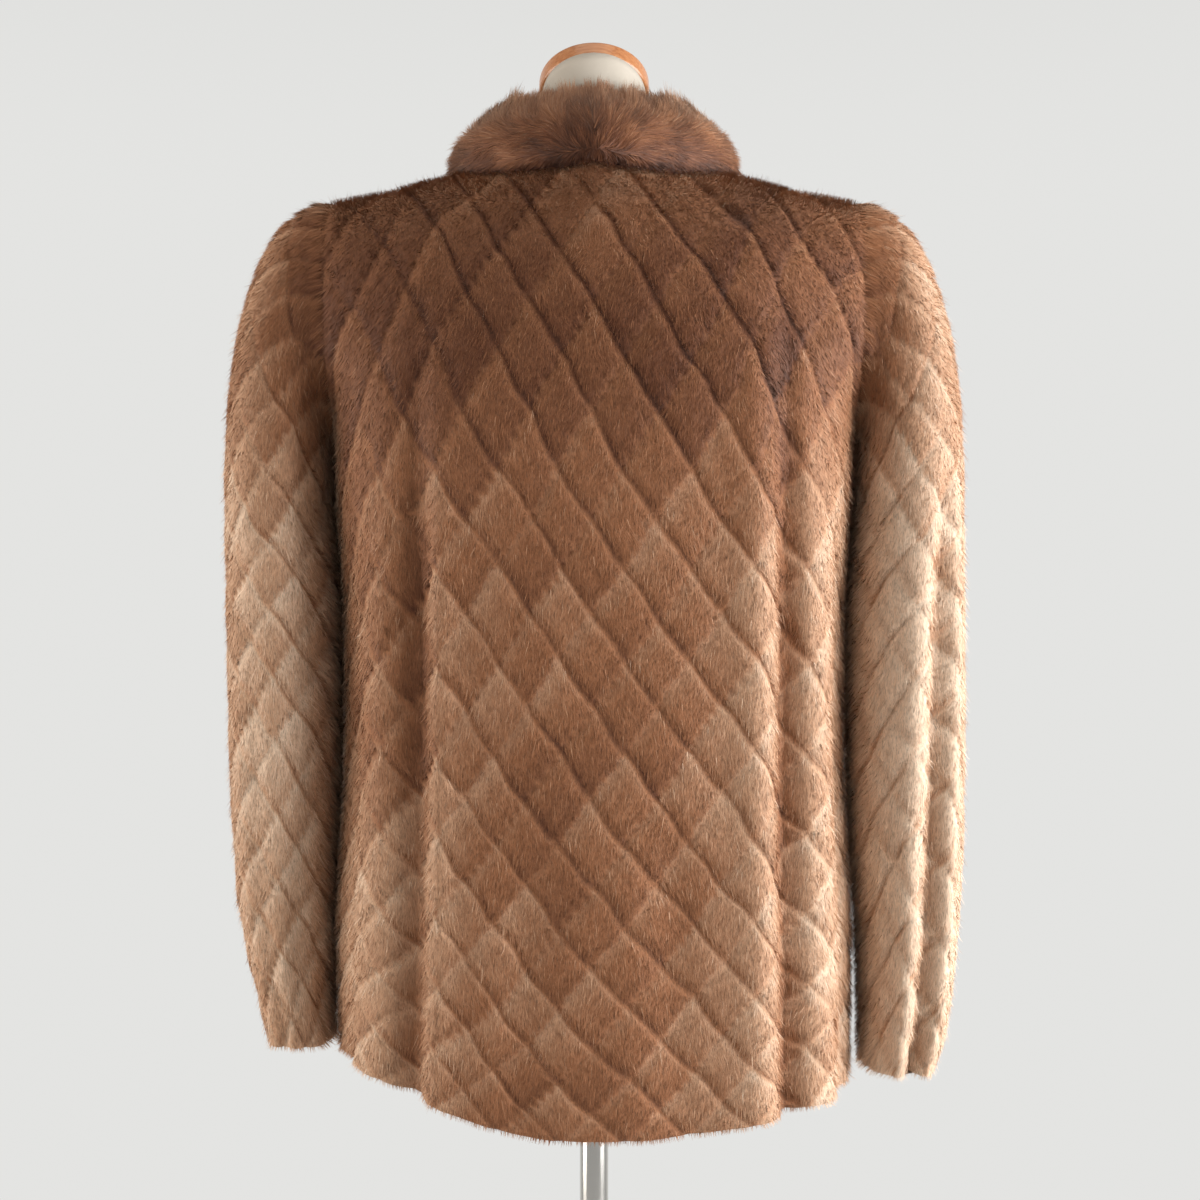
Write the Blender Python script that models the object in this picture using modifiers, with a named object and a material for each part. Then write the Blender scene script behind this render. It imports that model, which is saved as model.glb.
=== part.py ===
"""Fur jacket of pieced diamonds on a limbless dress form with a pole and a base plate.

Metres, +Z up, origin on the floor under the pole. The front faces -Y, the wearer's left is +X.
Every panel is a wall: its outer points follow the tips of the fur, with a groove along each
seam of the diamonds, and its inner points follow the plain skin side.

A place on a panel is given in half diamonds: `col` counts them round the body from the centre
line, `row` counts them up from the hem or cuff.
"""
import math

import bmesh
import bpy
import numpy as np
from mathutils import Vector

for old in list(bpy.data.objects):
    bpy.data.objects.remove(old, do_unlink=True)
COLLECTION = bpy.data.collections.new("fur_jacket")
bpy.context.scene.collection.children.link(COLLECTION)

# Wall
GROOVE = 0.0055  # how far a seam between diamonds lies below the fur tips
CROWN = 0.0010  # the shoulder of each diamond lies this far below its tip
WALL = 0.0110  # fur tips to skin side
CROWN_REACH = 0.52  # from the middle of a diamond towards its corners
SEAM = 0.0004  # gap between neighbouring pieces
ARMHOLE_SEAM = 0.0007  # gap between the armhole and the sleeve
NORMAL_STEP = 0.05  # half diamonds to either side of a place, to find its normal
CURVE_POINTS = 65  # points along a quarter ring
PATH_POINTS = 41  # points from the underarm's height up to the shoulder line

# Body, outside sizes over the fur
HEM_Z = 0.680
UNDERARM_ROW = 16
TOP_ROW = 22
SIDE_COL = 11
COL_PITCH = 0.0228  # half a diamond's width
KNEE_COL = 7  # beyond it the columns share what is left up to the side seam or armhole
ROW_PITCH = 0.0363  # half a diamond's height on the upper back
ROW_LOSS = 0.1202  # height that the shorter rows near the hem lose
ROW_FADE = 7.5  # rows over which they shorten
BODY = {  # height, half width, depth behind, depth in front, roundness
    "z": (0.680, 0.800, 0.950, 1.050, 1.155),
    "half": (0.1940, 0.1960, 0.1900, 0.1900, 0.1960),
    "back": (0.1300, 0.1280, 0.1230, 0.1265, 0.1310),
    "front": (0.1290, 0.1240, 0.1190, 0.1260, 0.1280),
    "round": (2.45, 2.45, 2.50, 2.60, 2.75),
}
HEM_RISE = {"left": 0.042, "right": 0.018}  # lift of the hem towards each side seam
RISE_START = 1  # column where that lift begins
RISE_COLS = 8  # columns over which it grows
RISE_ROWS = 9  # rows above which nothing of it is left

# Shoulders, neck and armholes
NECK_X = 0.109
NECK_Z = 1.384
SHOULDER_SLOPE = 0.26
NECK_DEPTH = {"back": 0.067, "front": 0.104}
DOME = 2.2  # roundness of the shoulders seen from the side
ARM_ARC = 0.207  # centre line to the armhole, along the cloth
ARM_TURN = 0.42  # part of the armhole's height in which it swings out to the side seam
ARM_X = 0.1962
ARM_LEAN = 0.045  # the armhole's plane leans out with height

FOLD_START = 3.0  # a fold reaches its full height in a third of its length
FOLD_END = 1.5  # columns over which the folds die away towards a side seam
FOLDS = [  # column at the top and at the hem, half width, top row, height (+ out, - in)
    {"top": 5.6, "hem": 5.9, "wide": 0.55, "rows": 19.5, "lift": -0.0095},
    {"top": 4.6, "hem": 4.9, "wide": 0.60, "rows": 18.0, "lift": 0.0050},
    {"top": 7.0, "hem": 7.3, "wide": 0.80, "rows": 18.5, "lift": 0.0060},
    {"top": -5.1, "hem": -5.3, "wide": 0.80, "rows": 20.0, "lift": 0.0080},
    {"top": -6.25, "hem": -6.4, "wide": 0.55, "rows": 20.5, "lift": -0.0105},
    {"top": -7.4, "hem": -7.6, "wide": 0.80, "rows": 18.0, "lift": 0.0055},
    {"top": 1.9, "hem": 2.2, "wide": 1.00, "rows": 9.0, "lift": -0.0040},
    {"top": -2.3, "hem": -2.8, "wide": 1.10, "rows": 10.0, "lift": -0.0040},
]
FRONT_FOLDS = [
    {"top": 5.2, "hem": 5.6, "wide": 0.80, "rows": 15.0, "lift": -0.0060},
    {"top": 6.6, "hem": 7.0, "wide": 0.90, "rows": 15.0, "lift": 0.0050},
    {"top": 2.4, "hem": 2.8, "wide": 1.20, "rows": 10.0, "lift": -0.0035},
]

# Sleeves
SLEEVE_COLS = 16
TUBE_ROWS = 16
SLEEVE_TOP_Z = 1.135
CAP_ROWS = (1, 1, 3, 4, 6, 7, 8, 9, 10, 9, 8, 7, 6, 4, 3, 1, 1)  # underarm, back, top, front
CAP_ROUND = 2.25
CAP_POINTS = 33  # points over a sleeve head, up to the armhole
ARMHOLE_STEPS = 8  # points of the armhole for each column of the sleeve
AT_ARMHOLE = 0.999  # share of the way up a sleeve head that counts as its edge
SLEEVE_ROUND = 2.25
SLEEVES = {  # share of the height, outer and inner edge, half depth
    "left": {
        "cuff_z": 0.7240,
        "share": (0.00, 0.07, 0.16, 0.27, 0.48, 0.60, 0.80, 1.00),
        "outer": (0.2500, 0.2565, 0.2655, 0.2735, 0.2785, 0.2795, 0.2810, 0.2820),
        "inner": (0.1990, 0.1990, 0.1990, 0.1980, 0.1948, 0.1937, 0.1934, 0.1985),
        "depth": (0.0440, 0.0470, 0.0515, 0.0565, 0.0630, 0.0660, 0.0700, 0.0720),
        "folds": [
            {"top": 5.0, "hem": 4.6, "wide": 0.60, "rows": 15.0, "lift": -0.0042},
            {"top": 3.0, "hem": 3.2, "wide": 0.60, "rows": 17.0, "lift": -0.0030},
        ],
    },
    "right": {
        "cuff_z": 0.7050,
        "share": (0.00, 0.06, 0.13, 0.25, 0.40, 0.60, 0.80, 1.00),
        "outer": (0.2620, 0.2700, 0.2745, 0.2795, 0.2830, 0.2840, 0.2835, 0.2825),
        "inner": (0.2045, 0.2040, 0.2035, 0.2015, 0.1960, 0.1938, 0.1934, 0.1985),
        "depth": (0.0490, 0.0525, 0.0555, 0.0590, 0.0630, 0.0670, 0.0700, 0.0720),
        "folds": [
            {"top": 5.3, "hem": 4.3, "wide": 0.50, "rows": 18.5, "lift": -0.0110},
            {"top": 6.2, "hem": 5.4, "wide": 0.60, "rows": 18.0, "lift": 0.0040},
            {"top": 3.9, "hem": 3.3, "wide": 0.60, "rows": 17.0, "lift": 0.0035},
        ],
    },
}

# Collar
COLLAR_RISE = 0.057
COLLAR_LEAN = 0.60  # half size of its upper edge against the neck seam
COLLAR_CURL = 2.0  # above 1 it stands up first and leans in towards its upper edge
COLLAR_FOOT = 0.0012  # gap to the panels and from either front edge to the middle
COLLAR_ROWS = 4
COLLAR_PILE = 0.0040  # swell of the fur over the band
COLLAR_SWELL = 0.6  # below 1 the swell is blunt near both edges
COLLAR_LEVEL = 0.35  # how far the dip of the neck seam is evened out at the upper edge
COLLAR_LIP = 0.5  # thickness of the upper edge against the foot
COLLAR_MIDDLE_Y = 0.006  # the band leans in towards this line
NECK_COLS = 4  # columns of either panel that end at the neck
NECK_CORNER_LEAN = 0.3

# Dress form, stand
FORM_CLEAR = 0.0145  # from the fur tips, so it stays clear of the skin side
FORM_SIDE_CLEAR = 0.0100  # and this much more at the sides,
FORM_DEPTH_CLEAR = 0.0080  # before and behind,
FORM_TOP_CLEAR = 0.0095  # and under the shoulders
FORM_BOTTOM = 0.738
FORM_EDGE = 0.008  # height of the bevel at its lower edge
FORM_EDGE_SIZE = 0.94
FORM_SIDES = 28
FORM_RINGS = 10
SHOULDER_RINGS = 11
SHOULDER_START = 3  # the first rings are even steps, the others crowd towards the neck
SHOULDER_STEP = 0.035
SHOULDER_CROWD = 1.3
SHOULDER_SIDE = 3.2  # how much fuller the shoulders are at the sides than before and behind
NECK_RINGS = 6
NECK_FLARE = 1.25  # foot of the neck against its top
NECK_TAPER = 1.4  # above 1 the neck has its top size before its upper edge
NECK_BEND = 1.5  # above 1 the neck's slope comes late
NECK_R = 0.0400
NECK_TOP = 1.4480
NECK_TILT = math.radians(30)
NECK_SHIFT = -0.004
CAP_R = 0.0425
CAP_THICK = 0.0150
CAP_EDGE = 0.003
CAP_CROWN = 0.002
CAP_GAP = 0.0008
STAND_GAP = 0.0005  # between the pieces of the stand
POLE_R = 0.0110
BASE_R = 0.170
BASE_THICK = 0.012
HUB_R = 0.026
BASE_RIM = 0.003
HUB_FLANGE = 0.008
HUB_NECK = {"z": (0.014, 0.032, 0.034), "size": (0.66, 0.62, 0.58)}  # height, share of HUB_R


def smooth(x):
    """0 to 1 without corners."""
    x = min(max(x, 0.0), 1.0)
    return x * x * (3 - 2 * x)


def station(table, key, at, by="z"):
    """A size between the stations of a table, on a curve without corners."""
    xs = table[by]
    ys = table[key]
    if at <= xs[0]:
        return ys[0]
    for k in range(len(xs) - 1):
        if at <= xs[k + 1]:
            t = (at - xs[k]) / (xs[k + 1] - xs[k])
            return ys[k] + (ys[k + 1] - ys[k]) * (0.5 * t + 0.5 * smooth(t))
    return ys[-1]


def quarter_ring(half, depth, roundness):
    """A quarter ring from the middle (x = 0) to the side (y = 0): length so far, x and y."""
    a = np.linspace(0, math.pi / 2, CURVE_POINTS)
    x = half * np.sin(a) ** (2 / roundness)
    y = depth * np.cos(a) ** (2 / roundness)
    run = np.concatenate(([0], np.cumsum(np.hypot(np.diff(x), np.diff(y)))))
    return run, x, y


def column_arc(col, length):
    """How far from the centre line a column lies, where the panel is `length` wide."""
    knee = KNEE_COL * COL_PITCH
    if col <= KNEE_COL:
        return col * COL_PITCH
    return knee + (col - KNEE_COL) / (SIDE_COL - KNEE_COL) * (length - knee)


def row_height(row):
    """Height of a row on the centre back, below the underarm."""
    return HEM_Z + ROW_PITCH * row - ROW_LOSS * (1 - math.exp(-row / ROW_FADE))


UNDERARM_Z = row_height(UNDERARM_ROW)


def arm_plane(z):
    """How far out the plane of the armhole lies."""
    return ARM_X + ARM_LEAN * (z - UNDERARM_Z)


def crest(x):
    """Height of the shoulder line."""
    return NECK_Z - SHOULDER_SLOPE * (x - NECK_X)


def fold_lift(folds, col, row):
    """How far the folds move the cloth out at a place."""
    lift = 0.0
    for fold in folds:
        down = 1 - row / fold["rows"]
        if down > 0:
            middle = fold["top"] + (fold["hem"] - fold["top"]) * down
            across = math.exp(-(((col - middle) / fold["wide"]) ** 2))
            lift += fold["lift"] * smooth(FOLD_START * down) * across
    return lift


def body_tip(side, col, row):
    """A place on the fur tips of the right half of the body, col from 0 to SIDE_COL, y outwards."""
    if row <= UNDERARM_ROW:
        z = row_height(row)
        sizes = [station(BODY, key, z) for key in ("half", side, "round")]
        run, xs, ys = quarter_ring(*sizes)
        arc = column_arc(col, run[-1])
        return float(np.interp(arc, run, xs)), float(np.interp(arc, run, ys)), z
    up = (row - UNDERARM_ROW) / (TOP_ROW - UNDERARM_ROW)
    run, xs, ys = quarter_ring(BODY["half"][-1], BODY[side][-1], BODY["round"][-1])
    arm = ARM_ARC + (run[-1] - ARM_ARC) * (1 - smooth(up / ARM_TURN))
    arm_x = float(np.interp(arm, run, xs))
    arc = column_arc(col, arm)
    x = float(np.interp(arc, run, xs))
    y = float(np.interp(arc, run, ys))
    inside = max(0.0, 1 - (x / NECK_X) ** 2)
    stop = NECK_DEPTH[side] * math.sqrt(inside) / y if y > 1e-6 else 0.0
    last = math.acos(min(stop, 1.0) ** (DOME / 2))
    a = np.linspace(0, last, PATH_POINTS)
    ys = y * np.cos(a) ** (2 / DOME)
    zs = UNDERARM_Z + (crest(x) - UNDERARM_Z) * np.sin(a) ** (2 / DOME)
    run = np.concatenate(([0], np.cumsum(np.hypot(np.diff(ys), np.diff(zs)))))
    y = float(np.interp(up * run[-1], run, ys))
    z = float(np.interp(up * run[-1], run, zs))
    widen = arm_plane(z) / arm_x - 1
    share = max(0.0, (col - KNEE_COL) / (SIDE_COL - KNEE_COL))
    return x * (1 + widen * share), y, z


def body_point(side, col, row, depth):
    """A point of a body panel, `depth` under the fur tips; col is positive on the wearer's left."""
    hand = 1 if col >= 0 else -1
    out = 1 if side == "back" else -1
    rise = HEM_RISE["left" if hand > 0 else "right"]
    folds = FOLDS if side == "back" else FRONT_FOLDS

    def tip(c, r):
        x, y, z = body_tip(side, min(abs(c), SIDE_COL), min(max(r, 0), TOP_ROW))
        z += rise * smooth((abs(c) - RISE_START) / RISE_COLS) * smooth(1 - r / RISE_ROWS)
        return Vector((x * hand, y * out, z))

    a = abs(col)
    place = tip(a, row)
    across = tip(a + NORMAL_STEP, row) - tip(max(a - NORMAL_STEP, 0), row)
    if a < NORMAL_STEP:
        across = Vector((hand, 0, 0))
    upward = tip(a, row + NORMAL_STEP) - tip(a, row - NORMAL_STEP)
    normal = across.cross(upward).normalized() * (-hand * out)
    if side == "back":
        lift = fold_lift(folds, col, row)
    else:
        lift = fold_lift(folds, a, row)
    lift *= smooth((SIDE_COL - a) / FOLD_END)
    place = place + normal * (lift - depth)
    place.y = out * max(place.y * out, SEAM / 2)
    limit = arm_plane(place.z) if row >= UNDERARM_ROW else 1.0
    place.x = hand * min(place.x * hand, limit)
    if side == "front":
        place.x = hand * max(place.x * hand, SEAM)
    return place


def armhole(col):
    """The armhole's edge at a sleeve column: underarm, up the back, over the top, down the front."""
    side = "back" if col <= SLEEVE_COLS / 2 else "front"
    out = 1 if side == "back" else -1
    up = min(col, SLEEVE_COLS - col) / (SLEEVE_COLS / 2)
    row = UNDERARM_ROW + up * (TOP_ROW - UNDERARM_ROW)
    x, y, z = body_tip(side, SIDE_COL, row)
    return Vector((arm_plane(z) + ARMHOLE_SEAM, y * out, z))


ARMHOLE = [armhole(k / ARMHOLE_STEPS) for k in range(SLEEVE_COLS * ARMHOLE_STEPS + 1)]


def cap_rows(col):
    """Rows of half diamonds above the underarm, at a sleeve column."""
    return float(np.interp(col % SLEEVE_COLS, range(SLEEVE_COLS + 1), CAP_ROWS))


def sleeve_tip(sizes, col, row):
    """A place on the fur tips of a sleeve on the wearer's left."""
    col = col % SLEEVE_COLS
    a = 2 * math.pi * col / SLEEVE_COLS
    share = min(row / TUBE_ROWS, 1.0)
    outer = station(sizes, "outer", share, "share")
    inner = station(sizes, "inner", share, "share")
    deep = station(sizes, "depth", share, "share")
    c = math.copysign(abs(math.cos(a)) ** (2 / SLEEVE_ROUND), math.cos(a))
    s = math.copysign(abs(math.sin(a)) ** (2 / SLEEVE_ROUND), math.sin(a))
    low = Vector(((outer + inner) / 2 - c * (outer - inner) / 2, s * deep, 0))
    if row <= TUBE_ROWS:
        low.z = sizes["cuff_z"] + (SLEEVE_TOP_Z - sizes["cuff_z"]) * share
        return low
    low.z = SLEEVE_TOP_Z
    at = col * ARMHOLE_STEPS
    k = min(int(at), len(ARMHOLE) - 2)
    high = ARMHOLE[k].lerp(ARMHOLE[k + 1], at - k)
    b = np.linspace(0, math.pi / 2, CAP_POINTS)
    out = np.cos(b) ** (2 / CAP_ROUND)
    up = np.sin(b) ** (2 / CAP_ROUND)
    xs = high.x + (low.x - high.x) * out
    zs = low.z + (high.z - low.z) * up
    ys = low.y + (high.y - low.y) * np.sin(b) ** 2
    run = np.concatenate(([0], np.cumsum(np.sqrt(np.diff(xs) ** 2 + np.diff(ys) ** 2 + np.diff(zs) ** 2))))
    far = min((row - TUBE_ROWS) / cap_rows(col), 1.0) * run[-1]
    return Vector([float(np.interp(far, run, v)) for v in (xs, ys, zs)])


def sleeve_point(hand, col, row, depth):
    """A point of a sleeve, `depth` under the fur tips."""
    sizes = SLEEVES[hand]
    top = TUBE_ROWS + cap_rows(col)

    def tip(c, r):
        return sleeve_tip(sizes, c, max(r, 0))

    place = tip(col, row)
    # beside the place, at the same share of the way up to the armhole
    share = (row - TUBE_ROWS) / (top - TUBE_ROWS)
    sides = []
    for c in (col - NORMAL_STEP, col + NORMAL_STEP):
        sides.append(tip(c, TUBE_ROWS + share * cap_rows(c) if share > 0 else row))
    across = sides[1] - sides[0]
    upward = tip(col, min(row + NORMAL_STEP, top)) - tip(col, row - NORMAL_STEP)
    if share > AT_ARMHOLE:
        upward = Vector((-1, 0, 0))
    normal = upward.cross(across).normalized()
    lift = fold_lift(sizes["folds"], col % SLEEVE_COLS, row)
    place = place + normal * (lift - depth)
    if row > TUBE_ROWS:
        place.x = max(place.x, arm_plane(place.z) + SEAM)
    if hand == "right":
        place.x = -place.x
    return place


def add_object(name, mesh, material):
    """Puts a mesh into the collection as an object."""
    obj = bpy.data.objects.new(name, mesh)
    COLLECTION.objects.link(obj)
    obj.data.materials.append(material)
    return obj


def paint(name, color, roughness, metallic=0.0):
    """A plain material."""
    material = bpy.data.materials.new(name)
    material.use_nodes = True
    shader = material.node_tree.nodes["Principled BSDF"]
    shader.inputs["Base Color"].default_value = (*color, 1)
    shader.inputs["Roughness"].default_value = roughness
    shader.inputs["Metallic"].default_value = metallic
    return material


def pieced_wall(name, first, last, rows_of, point, material, closed=False, flip=False):
    """A wall of diamonds over columns first to last, each rows_of(column) half diamonds high.

    A grid point with an odd sum of column and row is a corner of diamonds and lies in the
    groove; the others are the middles of diamonds. Each diamond is raised inside its corners,
    and the inside of the wall stays plain.
    """
    bm = bmesh.new()
    outer = {}
    inner = {}

    def is_corner(place):
        return (place[0] + place[1]) % 2 == 1

    def wrap(place):
        return (first + (place[0] - first) % (last - first), place[1]) if closed else place

    def outside(place):
        key = wrap(place)
        if key not in outer:
            outer[key] = bm.verts.new(point(key[0], key[1], GROOVE if is_corner(key) else 0.0))
        return outer[key]

    def inside(place):
        key = wrap(place)
        if key not in inner:
            inner[key] = bm.verts.new(point(key[0], key[1], WALL))
        return inner[key]

    def shoulder(one, two):
        """The raised point between a corner and a middle, or None between like points."""
        if is_corner(one) == is_corner(two):
            return None
        corner, middle = (one, two) if is_corner(one) else (two, one)
        key = (wrap(corner), wrap(middle))
        if key not in outer:
            col = middle[0] + CROWN_REACH * (corner[0] - middle[0])
            row = middle[1] + CROWN_REACH * (corner[1] - middle[1])
            outer[key] = bm.verts.new(point(col, row, CROWN))
        return outer[key]

    def face(verts):
        bm.faces.new(verts[::-1] if flip else verts)

    borders = {}

    def triangle(a, b, c):
        corners = [a, b, c]
        grooves = [p for p in corners if is_corner(p)]
        if len(grooves) == 2:
            while is_corner(corners[2]):
                corners = corners[1:] + corners[:1]
            low, high, middle = corners
            near = shoulder(high, middle)
            far = shoulder(low, middle)
            face([outside(low), outside(high), near, far])
            face([far, near, outside(middle)])
        else:
            ring = []
            for k in range(3):
                ring.append(outside(corners[k]))
                between = shoulder(corners[k], corners[(k + 1) % 3])
                if between:
                    ring.append(between)
            face(ring)
        face([inside(c), inside(b), inside(a)])
        for one, two in ((a, b), (b, c), (c, a)):
            pair = (wrap(one), wrap(two))
            if (pair[1], pair[0]) in borders:
                del borders[(pair[1], pair[0])]
            else:
                borders[pair] = (one, two)

    for col in range(first, last):
        here = rows_of(col)
        there = rows_of(col + 1)
        for row in range(min(here, there)):
            a = (col, row)
            b = (col + 1, row)
            c = (col + 1, row + 1)
            d = (col, row + 1)
            if is_corner(a):
                triangle(a, b, c)
                triangle(a, c, d)
            else:
                triangle(a, b, d)
                triangle(b, c, d)
        for row in range(here, there):
            triangle((col, here), (col + 1, row), (col + 1, row + 1))
        for row in range(there, here):
            triangle((col, row), (col + 1, there), (col, row + 1))

    for one, two in borders.values():
        between = shoulder(one, two)
        if between:
            face([outside(two), between, inside(two)])
            face([between, outside(one), inside(one)])
            face([between, inside(one), inside(two)])
        else:
            face([outside(two), outside(one), inside(one), inside(two)])

    # plain diamonds on the inside, flat tops on the outside
    edge = {wrap(p) for pair in borders.values() for p in pair}
    middles = [v for key, v in inner.items() if not is_corner(key) and key not in edge]
    middles += [
        v for key, v in outer.items()
        if isinstance(key[0], int) and not is_corner(key) and key not in edge
    ]
    bmesh.ops.dissolve_verts(bm, verts=middles)
    bmesh.ops.triangulate(bm, faces=bm.faces[:], quad_method="SHORT_EDGE")
    mesh = bpy.data.meshes.new(name)
    bm.to_mesh(mesh)
    bm.free()
    return add_object(name, mesh, material)


def skin(name, rings, material):
    """A closed body through closed rings of equally many points."""
    bm = bmesh.new()
    made = [[bm.verts.new(p) for p in ring] for ring in rings]
    count = len(rings[0])
    for low, high in zip(made, made[1:]):
        for k in range(count):
            m = (k + 1) % count
            bm.faces.new((low[k], low[m], high[m], high[k]))
    bm.faces.new(made[0][::-1])
    bm.faces.new(made[-1])
    bmesh.ops.recalc_face_normals(bm, faces=bm.faces[:])
    mesh = bpy.data.meshes.new(name)
    bm.to_mesh(mesh)
    bm.free()
    mesh.shade_smooth()
    mesh.set_sharp_from_angle(angle=math.radians(50))
    return add_object(name, mesh, material)


def make_collar(material):
    """The stand collar: a band on the neck seam, leaning in, open at the centre front."""
    seam = []
    columns = [("front", c) for c in range(NECK_COLS + 1)] + [("neck", 1)]
    columns += [("back", c) for c in range(NECK_COLS, -NECK_COLS - 1, -1)]
    columns += [("neck", -1)] + [("front", -c) for c in range(NECK_COLS, -1, -1)]
    for k, (side, col) in enumerate(columns):
        hand = 1 if k < len(columns) / 2 else -1
        if side == "neck":
            outer = Vector((col * NECK_X, 0, NECK_Z))
            inner = outer - Vector((col * NECK_CORNER_LEAN, 0, 1)).normalized() * WALL
        else:
            outer = body_point(side, col, TOP_ROW, 0.0)
            inner = body_point(side, col, TOP_ROW, WALL)
            if side == "front" and col == 0:
                outer.x = abs(outer.x) * hand
                inner.x = abs(inner.x) * hand
        seam.append((outer, inner))
    middle = Vector((0, COLLAR_MIDDLE_Y, 0))
    lip = WALL * COLLAR_LIP
    rings = []
    for k, (outer, inner) in enumerate(seam):
        ring = []
        for row in range(COLLAR_ROWS + 1):
            up = row / COLLAR_ROWS
            ring.append((outer, up, COLLAR_PILE * math.sin(math.pi * up) ** COLLAR_SWELL))
        for row in range(COLLAR_ROWS, -1, -1):
            up = row / COLLAR_ROWS
            ring.append((outer, up, -(lip + (WALL - lip) * (1 - up))))
        points = []
        for start, up, swell in ring:
            flat = Vector((start.x - middle.x, start.y - middle.y, 0))
            shrink = 1 - (1 - COLLAR_LEAN) * up ** COLLAR_CURL
            radial = flat.normalized()
            level = start.z + (NECK_Z - start.z) * COLLAR_LEVEL * up
            place = middle + flat * shrink + radial * swell
            place.z = level + COLLAR_FOOT + COLLAR_RISE * up
            points.append(place)
        # the foot of the band stands on the edge of the panels
        points[0] = outer + Vector((0, 0, COLLAR_FOOT))
        points[-1] = inner + Vector((0, 0, COLLAR_FOOT))
        if k in (0, len(seam) - 1):
            for p in points:
                p.x = COLLAR_FOOT if k == 0 else -COLLAR_FOOT
        rings.append(points)
    return skin("collar", rings, material)


def make_form(cloth):
    """The torso and neck of the dress form, one smooth closed body inside the jacket."""
    rings = []

    def body_ring(z):
        half = station(BODY, "half", z) - FORM_CLEAR - FORM_SIDE_CLEAR
        roundness = station(BODY, "round", z)
        ring = []
        for k in range(FORM_SIDES):
            a = 2 * math.pi * k / FORM_SIDES
            side = "back" if math.sin(a) > 0 else "front"
            deep = station(BODY, side, z) - FORM_CLEAR - FORM_DEPTH_CLEAR
            x = half * math.copysign(abs(math.cos(a)) ** (2 / roundness), math.cos(a))
            y = deep * math.copysign(abs(math.sin(a)) ** (2 / roundness), math.sin(a))
            ring.append(Vector((x, y, z)))
        return ring

    small = FORM_EDGE_SIZE
    rings.append([Vector((p.x * small, p.y * small, FORM_BOTTOM)) for p in body_ring(FORM_BOTTOM)])
    low = FORM_BOTTOM + FORM_EDGE
    for k in range(FORM_RINGS):
        rings.append(body_ring(low + (UNDERARM_Z - low) * k / (FORM_RINGS - 1)))
    base = rings[-1]
    widest = max(abs(p.x) for p in base)
    neck_foot = NECK_R * NECK_FLARE
    for k in range(1, SHOULDER_RINGS + 1):
        if k > SHOULDER_START:
            t = math.sin(math.pi / 2 * k / SHOULDER_RINGS) ** SHOULDER_CROWD
        else:
            t = k * SHOULDER_STEP
        ring = []
        for p in base:
            power = DOME + SHOULDER_SIDE * (abs(p.x) / widest) ** 4
            least = neck_foot / Vector((p.x, p.y)).length
            size = 1 - (1 - least) * t
            x = p.x * size
            y = p.y * size
            top = crest(abs(x)) - FORM_CLEAR - FORM_TOP_CLEAR
            rise = (1 - size ** power) ** (1 / DOME)
            ring.append(Vector((x, y, UNDERARM_Z + (top - UNDERARM_Z) * rise)))
        rings.append(ring)
    last = rings[-1]
    for k in range(1, NECK_RINGS + 1):
        t = k / NECK_RINGS
        radius = neck_foot + (NECK_R - neck_foot) * smooth(NECK_TAPER * t)
        lean = NECK_TILT * t ** NECK_BEND
        ring = []
        for p in last:
            flat = Vector((p.x, p.y, 0)).normalized() * radius
            z = p.z + (NECK_TOP - p.z) * t + flat.y * math.tan(lean)
            ring.append(Vector((flat.x, flat.y + NECK_SHIFT * t, z)))
        rings.append(ring)
    return skin("form_torso", rings, cloth)


def turned(name, outline, sides, material):
    """A turned piece: an outline of radius and height, run up its outer side."""
    mesh = bpy.data.meshes.new(name)
    count = len(outline)
    edges = [(k, k + 1) for k in range(count - 1)]
    if outline[0][0] > 0:
        edges.append((count - 1, 0))
    mesh.from_pydata([(r, 0, z) for r, z in outline], edges, [])
    obj = add_object(name, mesh, material)
    screw = obj.modifiers.new("Turn", "SCREW")
    screw.steps = sides
    screw.render_steps = sides
    screw.use_merge_vertices = True
    screw.merge_threshold = 0.0001
    screw.use_smooth_shade = True
    screw.use_normal_flip = True
    return obj


def make_cap(wood):
    """The turned wooden cap on the sloping neck."""
    inner = CAP_R - CAP_EDGE
    outline = [(0, 0), (inner, 0)]
    for k in range(1, 4):
        a = math.pi / 2 * k / 4
        outline.append((inner + CAP_EDGE * math.sin(a), CAP_EDGE - CAP_EDGE * math.cos(a)))
    outline.append((CAP_R, CAP_EDGE))
    for k in range(4):
        a = math.pi / 2 * k / 4
        outline.append((inner + CAP_EDGE * math.cos(a), CAP_THICK - CAP_EDGE + CAP_EDGE * math.sin(a)))
    outline += [(inner, CAP_THICK), (0, CAP_THICK + CAP_CROWN)]
    cap = turned("neck_cap", outline, 28, wood)
    cap.location = (0, NECK_SHIFT, NECK_TOP + CAP_GAP)
    cap.rotation_euler = (NECK_TILT, 0, 0)
    return cap


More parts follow.
